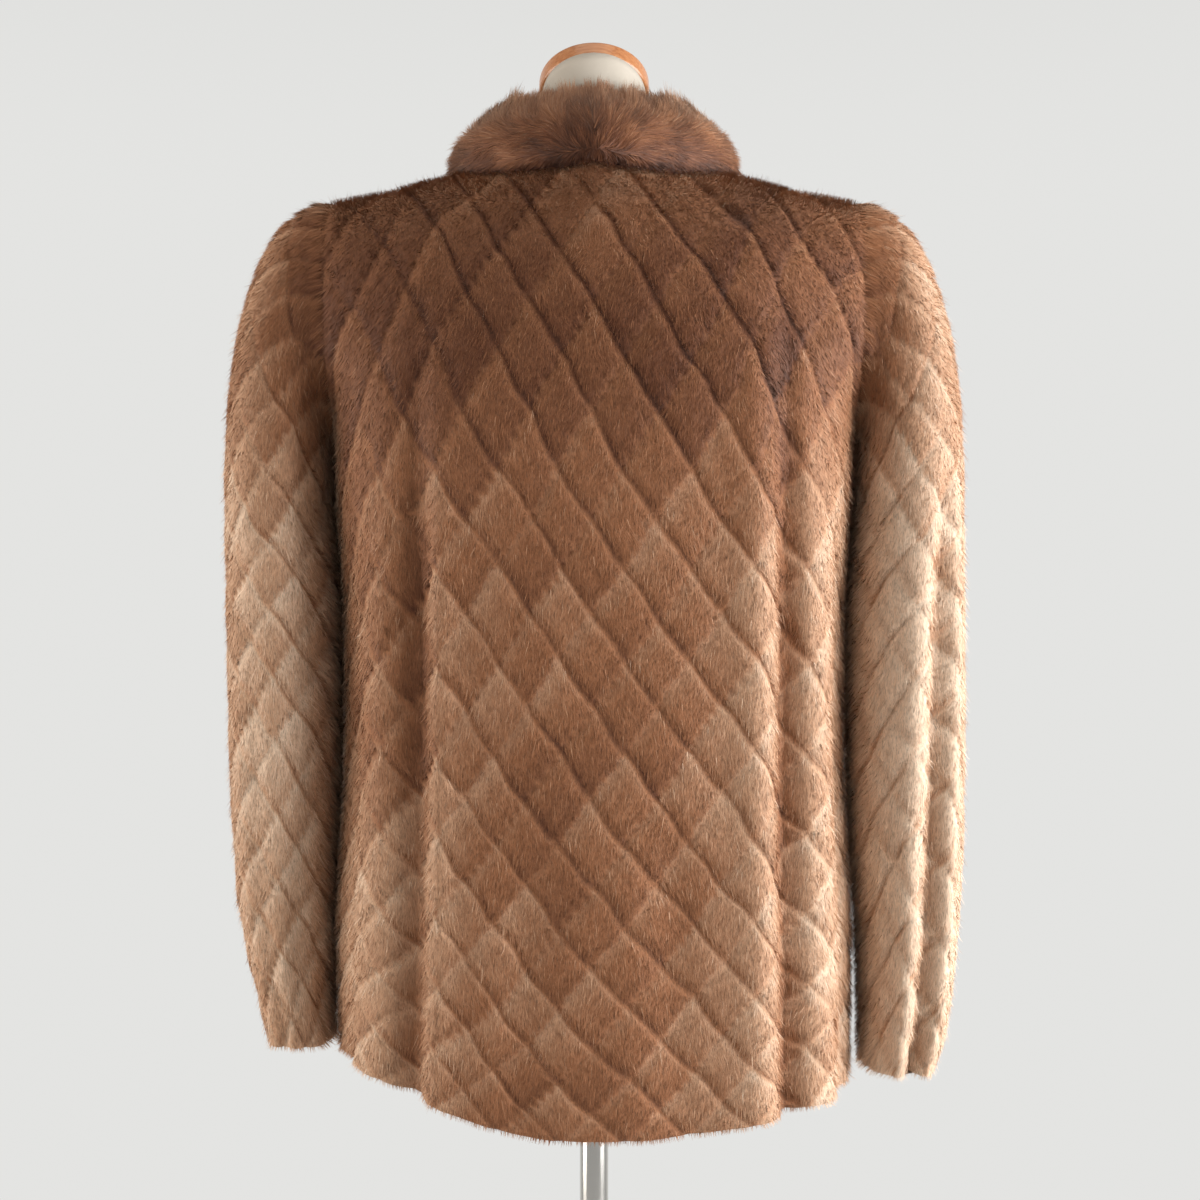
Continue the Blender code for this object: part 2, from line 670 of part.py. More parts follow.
def make_stand(chrome, enamel):
    """The pole, its hub and the round base plate."""
    foot = BASE_THICK + STAND_GAP
    pole_top = FORM_BOTTOM - STAND_GAP
    mesh = bpy.data.meshes.new("pole")
    bm = bmesh.new()
    bmesh.ops.create_cone(
        bm, cap_ends=True, segments=32, radius1=POLE_R, radius2=POLE_R, depth=pole_top - foot
    )
    bm.to_mesh(mesh)
    bm.free()
    mesh.shade_smooth()
    mesh.set_sharp_from_angle(angle=math.radians(40))
    pole = add_object("pole", mesh, chrome)
    pole.location = (0, 0, (pole_top + foot) / 2)

    outline = [
        (0, 0), (BASE_R - BASE_RIM, 0), (BASE_R, BASE_RIM), (BASE_R, BASE_THICK - 2 * BASE_RIM),
        (BASE_R - BASE_RIM, BASE_THICK - BASE_RIM), (HUB_R * 2, BASE_THICK), (0, BASE_THICK),
    ]
    turned("base_plate", outline, 48, enamel)
    bore = POLE_R + STAND_GAP
    outline = [(bore, foot), (HUB_R, foot), (HUB_R, foot + HUB_FLANGE)]
    outline += [(HUB_R * size, foot + z) for z, size in zip(HUB_NECK["z"], HUB_NECK["size"])]
    outline.append((bore, foot + HUB_NECK["z"][-1]))
    turned("pole_hub", outline, 24, chrome)


def main():
    fur = paint("brown_fur", (0.205, 0.097, 0.052), 0.75)
    collar_fur = paint("collar_fur", (0.175, 0.078, 0.042), 0.75)
    cloth = paint("form_cloth", (0.69, 0.63, 0.55), 0.85)
    wood = paint("cap_wood", (0.62, 0.24, 0.08), 0.4)
    chrome = paint("pole_chrome", (0.8, 0.8, 0.8), 0.12, 1.0)
    enamel = paint("base_enamel", (0.75, 0.74, 0.72), 0.35)

    pieced_wall(
        "back", -SIDE_COL, SIDE_COL, lambda c: TOP_ROW,
        lambda c, r, d: body_point("back", c, r, d), fur, flip=True,
    )
    pieced_wall(
        "front_left", 0, SIDE_COL, lambda c: TOP_ROW,
        lambda c, r, d: body_point("front", c, r, d), fur,
    )
    pieced_wall(
        "front_right", -SIDE_COL, 0, lambda c: TOP_ROW,
        lambda c, r, d: body_point("front", c if c < 0 else -1e-9, r, d), fur,
    )
    for hand in ("left", "right"):
        pieced_wall(
            "sleeve_" + hand, 0, SLEEVE_COLS, lambda c: TUBE_ROWS + CAP_ROWS[c],
            lambda c, r, d, h=hand: sleeve_point(h, c, r, d), fur,
            closed=True, flip=hand == "left",
        )
    make_collar(collar_fur)
    make_form(cloth)
    make_cap(wood)
    make_stand(chrome, enamel)


main()
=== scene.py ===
# Fur jacket pieced in diamonds, on a dress form stand. Blender 4.5.
# Metres, +Z up, the jacket's front faces -Y, the wearer's left is +X.
import math

import bmesh
import bpy
import numpy as np
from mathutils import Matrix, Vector
from mathutils.kdtree import KDTree


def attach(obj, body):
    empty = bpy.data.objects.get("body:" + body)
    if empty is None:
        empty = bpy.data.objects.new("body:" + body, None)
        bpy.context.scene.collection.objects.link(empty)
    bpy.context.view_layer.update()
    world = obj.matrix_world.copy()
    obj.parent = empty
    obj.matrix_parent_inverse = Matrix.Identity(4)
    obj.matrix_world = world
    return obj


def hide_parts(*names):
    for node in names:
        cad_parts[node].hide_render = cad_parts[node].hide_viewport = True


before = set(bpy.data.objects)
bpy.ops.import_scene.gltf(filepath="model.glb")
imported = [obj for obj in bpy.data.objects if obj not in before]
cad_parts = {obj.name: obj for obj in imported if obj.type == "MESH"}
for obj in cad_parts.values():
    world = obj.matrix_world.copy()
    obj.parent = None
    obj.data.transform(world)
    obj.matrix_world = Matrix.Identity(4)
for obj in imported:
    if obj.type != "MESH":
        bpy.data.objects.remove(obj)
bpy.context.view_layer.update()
print("frame loaded:", len(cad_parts), "nodes")

tiny = 1e-6


def smooth(x):
    x = np.clip(x, 0.0, 1.0)
    return x * x * (3 - 2 * x)


def station(table, key, at, by="z"):
    xs = np.array(table[by], float)
    ys = np.array(table[key], float)
    k = np.clip(np.searchsorted(xs, at, side="left") - 1, 0, len(xs) - 2)
    t = np.clip((at - xs[k]) / (xs[k + 1] - xs[k]), 0, 1)
    return ys[k] + (ys[k + 1] - ys[k]) * (0.5 * t + 0.5 * smooth(t))


def unit(v):
    return v / np.maximum(np.linalg.norm(v, axis=-1, keepdims=True), 1e-12)


def hexColor(code):
    out = []
    for k in (1, 3, 5):
        c = int(code[k:k + 2], 16) / 255
        out.append(c / 12.92 if c <= 0.04045 else ((c + 0.055) / 1.055) ** 2.4)
    return (*out, 1.0)


def newMaterial(name, finish):
    # finish: values of the shader's own inputs
    mat = bpy.data.materials.new(name)
    mat.use_nodes = True
    tree = mat.node_tree
    shader = tree.nodes["Principled BSDF"]
    for key, value in finish.items():
        shader.inputs[key].default_value = value
    return mat, tree, shader


def addNode(tree, kind, settings=None, links=None):
    # settings: attribute or input name -> value, or the stops of a ramp; links: input -> socket
    node = tree.nodes.new(kind)
    for key, value in (settings or {}).items():
        if key == "stops":
            stops = node.color_ramp.elements
            while len(stops) < len(value):
                stops.new(0.5)
            for stop, (place, color) in zip(stops, value):
                stop.position = place
                stop.color = hexColor(color) if isinstance(color, str) else (color,) * 3 + (1,)
        elif hasattr(node, key):
            setattr(node, key, value)
        else:
            node.inputs[key].default_value = value
    for key, socket in (links or {}).items():
        tree.links.new(socket, node.inputs[key])
    return node


def meshObject(name, verts, faces, materials, smoothFaces=True):
    mesh = bpy.data.meshes.new(name)
    mesh.from_pydata([tuple(v) for v in verts], [], faces)
    obj = bpy.data.objects.new(name, mesh)
    bpy.context.scene.collection.objects.link(obj)
    for mat in materials:
        mesh.materials.append(mat)
    if smoothFaces:
        mesh.shade_smooth()
    return obj


# Places on a panel are counted in half diamonds: col round the body, row up from the hem.

wall = {"thickness": 0.0110, "seam": 0.0004, "armholeSeam": 0.0007}

fineness = {  # points along the curves that the panels are read from
    "ring": 129,  # a quarter of a ring round the body
    "path": 81,  # from the underarm's height up to the shoulder line
    "armhole": 65,  # half an armhole
    "head": 65,  # a sleeve's head, from the tube up to the armhole
}

bodyCut = {
    "hemZ": 0.680,
    "underarmRow": 16,
    "topRow": 22,  # at the shoulder seam
    "sideCol": 11,  # at the side seam
    "colPitch": 0.0228,  # half a diamond's width
    "kneeCol": 7,  # up to here the columns are evenly wide
    "rowPitch": 0.0363,  # half a diamond's height on the upper back
    "rowLoss": 0.1202,  # what the lower rows, which are shorter, lose in all
    "rowFade": 7.5,
    # sections of the body: half its width, its depth behind and before, its roundness
    "z": (0.680, 0.800, 0.950, 1.050, 1.155),
    "half": (0.1940, 0.1960, 0.1900, 0.1900, 0.1960),
    "back": (0.1300, 0.1280, 0.1230, 0.1265, 0.1310),
    "front": (0.1290, 0.1240, 0.1190, 0.1260, 0.1280),
    "round": (2.45, 2.45, 2.50, 2.60, 2.75),
    "rise": {"left": 0.042, "right": 0.018},  # of the hem towards each side seam
    "riseStart": 1,
    "riseCols": 8,
    "riseRows": 9,
    "neckX": 0.109,  # where the shoulder seam ends at the neck
    "neckZ": 1.384,
    "slope": 0.26,  # of the shoulder seam
    "neckDepth": {"back": 0.067, "front": 0.104},
    "dome": 2.2,  # roundness of the shoulders, seen from the side
    "armArc": 0.207,  # from the centre line round to the armhole
    "armTurn": 0.42,  # share of the armhole's height in which its edge turns in
    "armX": 0.1962,  # the armhole's plane at the underarm
    "armLean": 0.045,
}

foldReach = {
    "grow": 3.0,  # a fold reaches its full height in a third of its length
    "fade": 1.5,  # columns over which the folds die away towards a side seam
}
# the folds of the solids, with crisper crests and valleys than those can carry
# shade: painted shade in a crease, painted light on a crest
bodyFolds = [
    {"top": 5.6, "hem": 5.9, "wide": 0.42, "rows": 19.5, "lift": -0.0115, "shade": -0.14},
    {"top": 4.7, "hem": 5.0, "wide": 0.50, "rows": 18.0, "lift": 0.0060},
    {"top": 6.9, "hem": 7.3, "wide": 0.85, "rows": 18.5, "lift": 0.0065},
    {"top": -5.1, "hem": -5.25, "wide": 0.80, "rows": 20.0, "lift": 0.0095, "shade": 0.05},
    {"top": -6.25, "hem": -6.4, "wide": 0.34, "rows": 20.5, "lift": -0.0125, "shade": -0.26},
    {"top": -7.4, "hem": -7.6, "wide": 0.75, "rows": 18.0, "lift": 0.0085},
    {"top": 1.9, "hem": 2.2, "wide": 0.90, "rows": 9.0, "lift": -0.0045},
    {"top": -2.3, "hem": -2.8, "wide": 0.90, "rows": 10.0, "lift": -0.0045},
    {"top": 8.6, "hem": 9.0, "wide": 0.50, "rows": 15.0, "lift": -0.0035},
    {"top": -8.8, "hem": -9.0, "wide": 0.45, "rows": 15.5, "lift": -0.0045},
]
frontFolds = [
    {"top": 5.2, "hem": 5.6, "wide": 0.80, "rows": 15.0, "lift": -0.0060},
    {"top": 6.6, "hem": 7.0, "wide": 0.90, "rows": 15.0, "lift": 0.0050},
    {"top": 2.4, "hem": 2.8, "wide": 1.20, "rows": 10.0, "lift": -0.0035},
]

sleeveCut = {
    "cols": 16,
    "tubeRows": 16,
    "topZ": 1.135,  # where the tube ends and the head begins
    # rows of diamonds up the head in each column, from the underarm round and back to it
    "capRows": (1, 1, 3, 4, 6, 7, 8, 9, 10, 9, 8, 7, 6, 4, 3, 1, 1),
    "capRound": 2.25,
    "capGrid": 8,  # grid lines up the head, as many as 8 rows have
    "round": 2.25,
    # share of the way up the tube; how far out its two sides lie there, and half its depth
    "left": {
        "cuffZ": 0.7240,
        "share": (0.00, 0.07, 0.16, 0.27, 0.48, 0.60, 0.80, 1.00),
        "outer": (0.2500, 0.2565, 0.2655, 0.2735, 0.2785, 0.2795, 0.2810, 0.2820),
        "inner": (0.1990, 0.1990, 0.1990, 0.1980, 0.1948, 0.1937, 0.1934, 0.1985),
        "depth": (0.0440, 0.0470, 0.0515, 0.0565, 0.0630, 0.0660, 0.0700, 0.0720),
        "folds": [
            {"top": 5.0, "hem": 4.6, "wide": 0.60, "rows": 15.0, "lift": -0.0042},
            {"top": 3.0, "hem": 3.2, "wide": 0.60, "rows": 17.0, "lift": -0.0030},
        ],
    },
    "right": {
        "cuffZ": 0.7050,
        "share": (0.00, 0.06, 0.13, 0.25, 0.40, 0.60, 0.80, 1.00),
        "outer": (0.2620, 0.2700, 0.2745, 0.2795, 0.2830, 0.2840, 0.2835, 0.2825),
        "inner": (0.2045, 0.2040, 0.2035, 0.2015, 0.1960, 0.1938, 0.1934, 0.1985),
        "depth": (0.0490, 0.0525, 0.0555, 0.0590, 0.0630, 0.0670, 0.0700, 0.0720),
        # shade: painted shade in the crease
        "folds": [
            {"top": 5.3, "hem": 4.3, "wide": 0.36, "rows": 18.5, "lift": -0.0120, "shade": -0.22},
            {"top": 6.1, "hem": 5.2, "wide": 0.50, "rows": 18.0, "lift": 0.0040},
            {"top": 4.1, "hem": 3.4, "wide": 0.50, "rows": 17.0, "lift": 0.0035},
        ],
    },
}


def ringCurve(half, depth, roundness):
    a = np.linspace(0, math.pi / 2, fineness["ring"])
    x = half * np.sin(a) ** (2 / roundness)
    y = depth * np.cos(a) ** (2 / roundness)
    run = np.concatenate(([0], np.cumsum(np.hypot(np.diff(x), np.diff(y)))))
    return run, x, y


def columnArc(cols, length):
    knee = bodyCut["kneeCol"] * bodyCut["colPitch"]
    past = (cols - bodyCut["kneeCol"]) / (bodyCut["sideCol"] - bodyCut["kneeCol"])
    return np.where(cols <= bodyCut["kneeCol"], cols * bodyCut["colPitch"], knee + past * (length - knee))


def rowHeight(row):
    fade = 1 - np.exp(-row / bodyCut["rowFade"])
    return bodyCut["hemZ"] + bodyCut["rowPitch"] * row - bodyCut["rowLoss"] * fade


underarmZ = float(rowHeight(bodyCut["underarmRow"]))


def armPlane(z):
    return bodyCut["armX"] + bodyCut["armLean"] * (z - underarmZ)


def crest(x):
    return bodyCut["neckZ"] - bodyCut["slope"] * (x - bodyCut["neckX"])


def foldSum(folds, cols, rows, key="lift"):
    # what all folds add at a place: height, or painted shade that darkens a crease and painted light on a
    # crest
    total = np.zeros(np.broadcast(cols, rows).shape)
    for fold in folds:
        down = 1 - rows / fold["rows"]
        middle = fold["top"] + (fold["hem"] - fold["top"]) * down
        across = np.exp(-(((cols - middle) / fold["wide"]) ** 2))
        total += np.where(down > 0, fold.get(key, 0.0) * smooth(foldReach["grow"] * down) * across, 0.0)
    return total


def bodyTips(side, cols, rows):
    # the fur tips of half a body, x and y outwards, one line of points for each row
    cut = bodyCut
    tips = np.zeros((len(rows), len(cols), 3))
    arcs = np.zeros((len(rows), len(cols)))
    share = np.clip((cols - cut["kneeCol"]) / (cut["sideCol"] - cut["kneeCol"]), 0, None)
    for k, row in enumerate(rows):
        if row <= cut["underarmRow"]:
            z = float(rowHeight(row))
            run, x, y = ringCurve(station(cut, "half", z), station(cut, side, z), station(cut, "round", z))
            arc = columnArc(cols, run[-1])
            arcs[k] = arc
            tips[k] = np.stack((np.interp(arc, run, x), np.interp(arc, run, y), np.full(len(cols), z)), 1)
            continue
        up = (row - cut["underarmRow"]) / (cut["topRow"] - cut["underarmRow"])
        run, x, y = ringCurve(cut["half"][-1], cut[side][-1], cut["round"][-1])
        arm = cut["armArc"] + (run[-1] - cut["armArc"]) * (1 - smooth(up / cut["armTurn"]))
        arc = columnArc(cols, arm)
        arcs[k] = arc
        armX = np.interp(arm, run, x)
        px = np.interp(arc, run, x)
        py = np.interp(arc, run, y)
        inside = np.clip(1 - (px / cut["neckX"]) ** 2, 0, None)
        stop = np.where(py > tiny, cut["neckDepth"][side] * np.sqrt(inside) / np.maximum(py, tiny), 0)
        last = np.arccos(np.clip(stop, 0, 1) ** (cut["dome"] / 2))
        a = last[:, None] * np.linspace(0, 1, fineness["path"])[None, :]
        ys = py[:, None] * np.cos(a) ** (2 / cut["dome"])
        zs = underarmZ + (crest(px)[:, None] - underarmZ) * np.sin(a) ** (2 / cut["dome"])
        steps = np.hypot(np.diff(ys, axis=1), np.diff(zs, axis=1))
        path = np.concatenate((np.zeros((len(cols), 1)), np.cumsum(steps, axis=1)), 1)
        for c in range(len(cols)):
            y1 = np.interp(up * path[c, -1], path[c], ys[c])
            z1 = np.interp(up * path[c, -1], path[c], zs[c])
            widen = armPlane(z1) / armX - 1
            tips[k, c] = (px[c] * (1 + widen * share[c]), y1, z1)
    return tips, arcs / cut["colPitch"]


def gridNormals(points, sign):
    down, across = np.gradient(points, axis=(0, 1))
    return unit(np.cross(across, down)) * sign


def bodyPanel(side, hand, sub):
    # hand 0: the whole width, +1: the wearer's left half, -1: the right half
    cut = bodyCut
    cols = np.linspace(0, cut["sideCol"], cut["sideCol"] * sub + 1)
    rows = np.linspace(0, cut["topRow"], cut["topRow"] * sub + 1)
    half, across = bodyTips(side, cols, rows)
    out = 1 if side == "back" else -1
    parts = []
    for h in ((-1, 1) if hand == 0 else (hand,)):
        tips = half * np.array((h, out, 1.0))
        rise = cut["rise"]["left" if h > 0 else "right"] * smooth((cols - cut["riseStart"]) / cut["riseCols"])
        tips[..., 2] += rise[None, :] * smooth(1 - rows[:, None] / cut["riseRows"])
        parts.append((cols * h, tips, across * h))
    if hand == 0:
        allCols = np.concatenate((parts[0][0][:0:-1], parts[1][0]))
        tips = np.concatenate((parts[0][1][:, :0:-1], parts[1][1]), 1)
        pieceCols = np.concatenate((parts[0][2][:, :0:-1], parts[1][2]), 1)
    else:
        allCols, tips, pieceCols = parts[0]
    order = 1 if allCols[-1] > allCols[0] else -1
    normals = gridNormals(tips, -out * order)
    folds = bodyFolds if side == "back" else frontFolds
    foldCols = allCols if side == "back" else np.abs(allCols)
    lift = foldSum(folds, foldCols[None, :], rows[:, None])
    lift = lift * smooth((cut["sideCol"] - np.abs(allCols[None, :])) / foldReach["fade"])
    return {
        "cols": allCols, "rows": rows, "tips": tips + normals * lift[..., None], "sign": -out * order,
        "side": side, "hand": hand, "closed": False, "pieceCols": pieceCols,
        "paintedLightAndShade": foldSum(folds, foldCols[None, :], rows[:, None], "shade"),
    }


def sleevePanel(hand, sub):
    cut = sleeveCut
    sizes = cut[hand]
    side = np.array([float(bodyCut["sideCol"])])
    armRows = np.linspace(bodyCut["underarmRow"], bodyCut["topRow"], fineness["armhole"])
    back = bodyTips("back", side, armRows)[0][:, 0]
    front = bodyTips("front", side, armRows)[0][:, 0] * (1, -1, 1)
    armhole = np.concatenate((back, front[-2::-1]))
    armhole[:, 0] = armPlane(armhole[:, 2]) + wall["armholeSeam"]
    cols = np.linspace(0, cut["cols"], cut["cols"] * sub + 1)
    tubeRows = np.linspace(0, cut["tubeRows"], cut["tubeRows"] * sub + 1)
    capShare = np.linspace(0, 1, cut["capGrid"] * sub + 1)[1:]
    a = 2 * math.pi * cols / cut["cols"]
    c = np.sign(np.cos(a)) * np.abs(np.cos(a)) ** (2 / cut["round"])
    s = np.sign(np.sin(a)) * np.abs(np.sin(a)) ** (2 / cut["round"])
    count = len(tubeRows) + len(capShare)
    tips = np.zeros((count, len(cols), 3))
    rowGrid = np.zeros((count, len(cols)))
    for k, row in enumerate(tubeRows):
        share = row / cut["tubeRows"]
        outer = station(sizes, "outer", share, "share")
        inner = station(sizes, "inner", share, "share")
        deep = station(sizes, "depth", share, "share")
        tips[k, :, 0] = (outer + inner) / 2 - c * (outer - inner) / 2
        tips[k, :, 1] = s * deep
        tips[k, :, 2] = sizes["cuffZ"] + (cut["topZ"] - sizes["cuffZ"]) * share
        rowGrid[k] = row
    capRows = np.interp(cols, np.arange(cut["cols"] + 1), cut["capRows"])
    b = np.linspace(0, math.pi / 2, fineness["head"])
    out = np.cos(b) ** (2 / cut["capRound"])
    up = np.sin(b) ** (2 / cut["capRound"])
    base = len(tubeRows)
    for j in range(len(cols)):
        low = tips[base - 1, j]
        at = cols[j] * (len(armhole) - 1) / cut["cols"]
        high = np.array([np.interp(at, np.arange(len(armhole)), armhole[:, m]) for m in range(3)])
        xs = high[0] + (low[0] - high[0]) * out
        ys = low[1] + (high[1] - low[1]) * np.sin(b) ** 2
        zs = low[2] + (high[2] - low[2]) * up
        steps = np.sqrt(np.diff(xs) ** 2 + np.diff(ys) ** 2 + np.diff(zs) ** 2)
        run = np.concatenate(([0], np.cumsum(steps)))
        for m, line in enumerate((xs, ys, zs)):
            tips[base:, j, m] = np.interp(capShare * run[-1], run, line)
        rowGrid[base:, j] = cut["tubeRows"] + capShare * capRows[j]
    normals = gridNormals(tips, -1)
    normals[:, 0] = normals[:, -1] = unit(normals[:, 0] + normals[:, -1])
    lift = foldSum(sizes["folds"], cols[None, :], rowGrid)
    tips = tips + normals * lift[..., None]
    sign = -1
    if hand == "right":
        tips = tips * np.array((-1.0, 1, 1))
        sign = 1
    return {
        "cols": cols, "rows": rowGrid, "tips": tips, "sign": sign,
        "side": "sleeve", "hand": hand, "closed": True,
        "paintedLightAndShade": foldSum(sizes["folds"], cols[None, :], rowGrid, "shade"),
    }


def warpPanel(panel):
    # hand-cut pieces: the seams wander a little, but not the outer edges
    s = peltSettings
    tips = panel["tips"]
    rows, cols = np.indices(tips.shape[:2]).astype(float)
    nr, nc = tips.shape[:2]
    inside = np.minimum(np.minimum(rows, nr - 1 - rows), np.minimum(cols, nc - 1 - cols))
    fade = smooth(inside / (s["hold"] * s["sub"])) * s["sub"]
    for size, reach, salt in ((s["wanderSize"], s["wander"], 31), (s["waverSize"], s["waver"], 33)):
        rows = rows + fade * reach * waves(tips, size, salt)
        cols = cols + fade * reach * waves(tips, size, salt + 1)
    rows = np.clip(rows, 0, nr - 1).ravel()
    cols = np.clip(cols, 0, nc - 1).ravel()
    panel["tips"] = sampleGrid(tips, rows, cols).reshape(tips.shape)


def finishPanel(panel):
    # fills in what pelt and hairs read: places in the lattice, normals, distance to the sewn edges
    if panel["side"] != "collar":
        warpPanel(panel)
    tips = panel["tips"]
    rows = panel["rows"]
    cols = panel["cols"]
    if rows.ndim == 1:
        rows = np.broadcast_to(rows[:, None], tips.shape[:2])
    panel["rowGrid"] = rows
    panel["colGrid"] = np.broadcast_to(cols[None, :], tips.shape[:2])
    # columns of the diamonds: evenly wide all over the body, so an armhole cuts through them
    if "pieceCols" not in panel:
        panel["pieceCols"] = panel["colGrid"]
    normals = gridNormals(tips, panel["sign"])
    if panel["closed"]:
        normals[:, 0] = normals[:, -1] = unit(normals[:, 0] + normals[:, -1])
    panel["normals"] = normals
    panel["edge"] = sewnEdge(panel)
    return panel


def lattice(cols, rows):
    # place inside a diamond: right and left upper edges at +1, the lower ones at -1
    p = cols + rows
    q = rows - cols
    p0 = 2 * np.round(p / 2)
    q0 = 2 * np.round(q / 2)
    return p0, q0, p - p0, q - q0


def pieceNoise(p0, q0, salt):
    # one steady number from 0 to 1 for each diamond
    v = np.sin(p0 * 12.9898 + q0 * 78.233 + salt * 37.719) * 43758.5453
    return v - np.floor(v)


def clampPanel(panel, points):
    # neighbouring panels stay on their own side of each seam
    if panel["side"] == "back":
        points[..., 1] = np.maximum(points[..., 1], wall["seam"] / 2)
    elif panel["side"] == "front":
        points[..., 1] = np.minimum(points[..., 1], -wall["seam"] / 2)
        h = panel["hand"]
        points[..., 0] = h * np.maximum(points[..., 0] * h, wall["seam"])
    if panel["side"] in ("back", "front"):
        above = panel["rowGrid"] >= bodyCut["underarmRow"]
        limit = np.where(above, armPlane(points[..., 2]), 1.0)
        points[..., 0] = np.clip(points[..., 0], -limit, limit)
        # the sewn edges lie exactly in the planes of the seams
        side = np.abs(panel["colGrid"]) > bodyCut["sideCol"] - tiny
        points[..., 0] = np.where(side & above, np.sign(panel["colGrid"]) * limit, points[..., 0])
        shoulder = (panel["rowGrid"] > bodyCut["topRow"] - tiny) & (panel["tips"][..., 1] ** 2 < tiny)
        half = wall["seam"] / 2 if panel["side"] == "back" else -wall["seam"] / 2
        points[..., 1] = np.where((side & ~above) | shoulder, half, points[..., 1])
    else:
        h = 1 if panel["hand"] == "left" else -1
        above = panel["rowGrid"] > sleeveCut["tubeRows"]
        limit = np.where(above, armPlane(points[..., 2]) + wall["seam"], 0.0)
        points[..., 0] = h * np.maximum(points[..., 0] * h, limit)
    return points


peltSettings = {
    "crownDepth": 0.0014,  # the dense underfur lies this far under the tips
    "grooveDepth": 0.0038,  # in the long seams, down to the wearer's right
    "softDepth": 0.0034,  # in the short seams that cross them
    "innerDepth": 0.0108,
    "upperRamp": 0.34,  # share of a diamond in which the pile rises below a long seam,
    "softRamp": 0.55,  # below a short seam,
    "lowRamp": 0.25,  # and above either
    "edgeDepth": 0.0012,  # at the sewn edges the pelts come up to meet each other
    "edgeCols": 0.5,
    "sub": 4,  # grid lines for each half diamond, an even number
    "wander": 0.13,  # how far the seams stray, in half diamonds: slowly,
    "wanderSize": 0.16,
    "waver": 0.07,  # and from one piece to the next
    "waverSize": 0.035,
    "hold": 1.5,  # half diamonds along the outer edges where they stray less and less
    "upperBow": 0.8,
    "lowBow": 0.7,
}


def peltDepth(cols, rows, edge=None):
    s = peltSettings
    _, _, dp, dq = lattice(cols, rows)
    full = smooth((1 - dq) / s["upperRamp"]) ** s["upperBow"] * smooth((1 + dq) / s["lowRamp"]) ** s["lowBow"]
    soft = smooth((1 - dp) / s["softRamp"]) ** s["upperBow"] * smooth((1 + dp) / s["lowRamp"]) ** s["lowBow"]
    depth = s["crownDepth"] + np.maximum(
        (s["grooveDepth"] - s["crownDepth"]) * (1 - full), (s["softDepth"] - s["crownDepth"]) * (1 - soft),
    )
    if edge is not None:
        depth = s["edgeDepth"] + (depth - s["edgeDepth"]) * smooth(edge / s["edgeCols"])
    return depth


def sewnEdge(panel):
    # how many half diamonds a place lies from the nearest sewn edge
    cols = np.abs(panel["colGrid"])
    rows = panel["rowGrid"]
    if panel["side"] == "collar":
        return rows
    if panel["side"] == "sleeve":
        top = np.broadcast_to(rows[-1:, :], rows.shape)
        return top - rows
    edge = bodyCut["sideCol"] - cols
    edge = np.minimum(edge, bodyCut["topRow"] - rows)
    if panel["side"] == "front":
        edge = np.minimum(edge, cols)
    return edge


def gridFaces(nr, nc, start, flip, diagonal=0):
    # diagonal 1 or -1 cuts every square into two triangles, along the long seams
    faces = []
    for r in range(nr - 1):
        for c in range(nc - 1):
            a = start + r * nc + c
            b, d, e = a + 1, a + nc, a + nc + 1
            if diagonal == 0:
                cell = ((a, b, e, d),)
            elif diagonal > 0:
                cell = ((a, b, e), (a, e, d))
            else:
                cell = ((a, b, d), (b, e, d))
            faces += [face[::-1] if flip else face for face in cell]
    return faces


def makePelt(name, panel, materials):
    # a thin closed shell: the underfur outside with its grooves, the plain skin side inside
    tips = panel["tips"]
    normals = panel["normals"]
    depth = peltDepth(panel["pieceCols"], panel["rowGrid"], panel["edge"])
    outer = clampPanel(panel, tips - normals * depth[..., None])
    inner = clampPanel(panel, tips - normals * peltSettings["innerDepth"])[::2, ::2]
    if panel["closed"]:
        outer[:, -1] = outer[:, 0]
        inner[:, -1] = inner[:, 0]
    nr, nc = outer.shape[:2]
    mr, mc = inner.shape[:2]
    verts = np.concatenate((outer.reshape(-1, 3), inner.reshape(-1, 3)))
    flip = panel["sign"] > 0
    diagonal = 1 if panel["cols"][-1] > panel["cols"][0] else -1
    faces = gridFaces(nr, nc, 0, not flip, diagonal)
    outerCount = len(faces)
    base = nr * nc
    faces += gridFaces(mr, mc, base, flip)
    rims = []

    def rim(outerIds, innerIds, turn):
        for k in range(len(innerIds) - 1):
            ring = (outerIds[2 * k], outerIds[2 * k + 1], outerIds[2 * k + 2], innerIds[k + 1], innerIds[k])
            rims.append(ring if turn else ring[::-1])

    rim(range(nc), range(base, base + mc), not flip)
    rim(range((nr - 1) * nc, nr * nc), range(base + (mr - 1) * mc, base + mr * mc), flip)
    if not panel["closed"]:
        rim(range(0, nr * nc, nc), range(base, base + mr * mc, mc), flip)
        rim(range(nc - 1, nr * nc, nc), range(base + mc - 1, base + mr * mc, mc), not flip)
    faces += rims
    obj = meshObject(name, verts, faces, materials)
    if panel["closed"]:
        weld(obj)
    slots = np.ones(len(obj.data.polygons), np.int32)
    slots[:outerCount] = 0
    slots[len(slots) - len(rims):] = 0
    obj.data.polygons.foreach_set("material_index", slots)
    # the short seams cut across the pelt's triangles, so the hairs alone carry their painted shade lines
    tone = pileTone(panel, tips, panel["pieceCols"], panel["rowGrid"], shortSeams=False)
    # painted shade in the creases, painted light on crests and along the shoulder ridge
    tone = (tone + panel["paintedLightAndShade"]).reshape(-1)
    tree = KDTree(len(tone))
    for k, v in enumerate(outer.reshape(-1, 3)):
        tree.insert(v, k)
    tree.balance()
    paintTone(obj, np.array([tone[tree.find(v.co)[1]] for v in obj.data.vertices]))
    return obj


toneLimits = (0.02, 0.98)


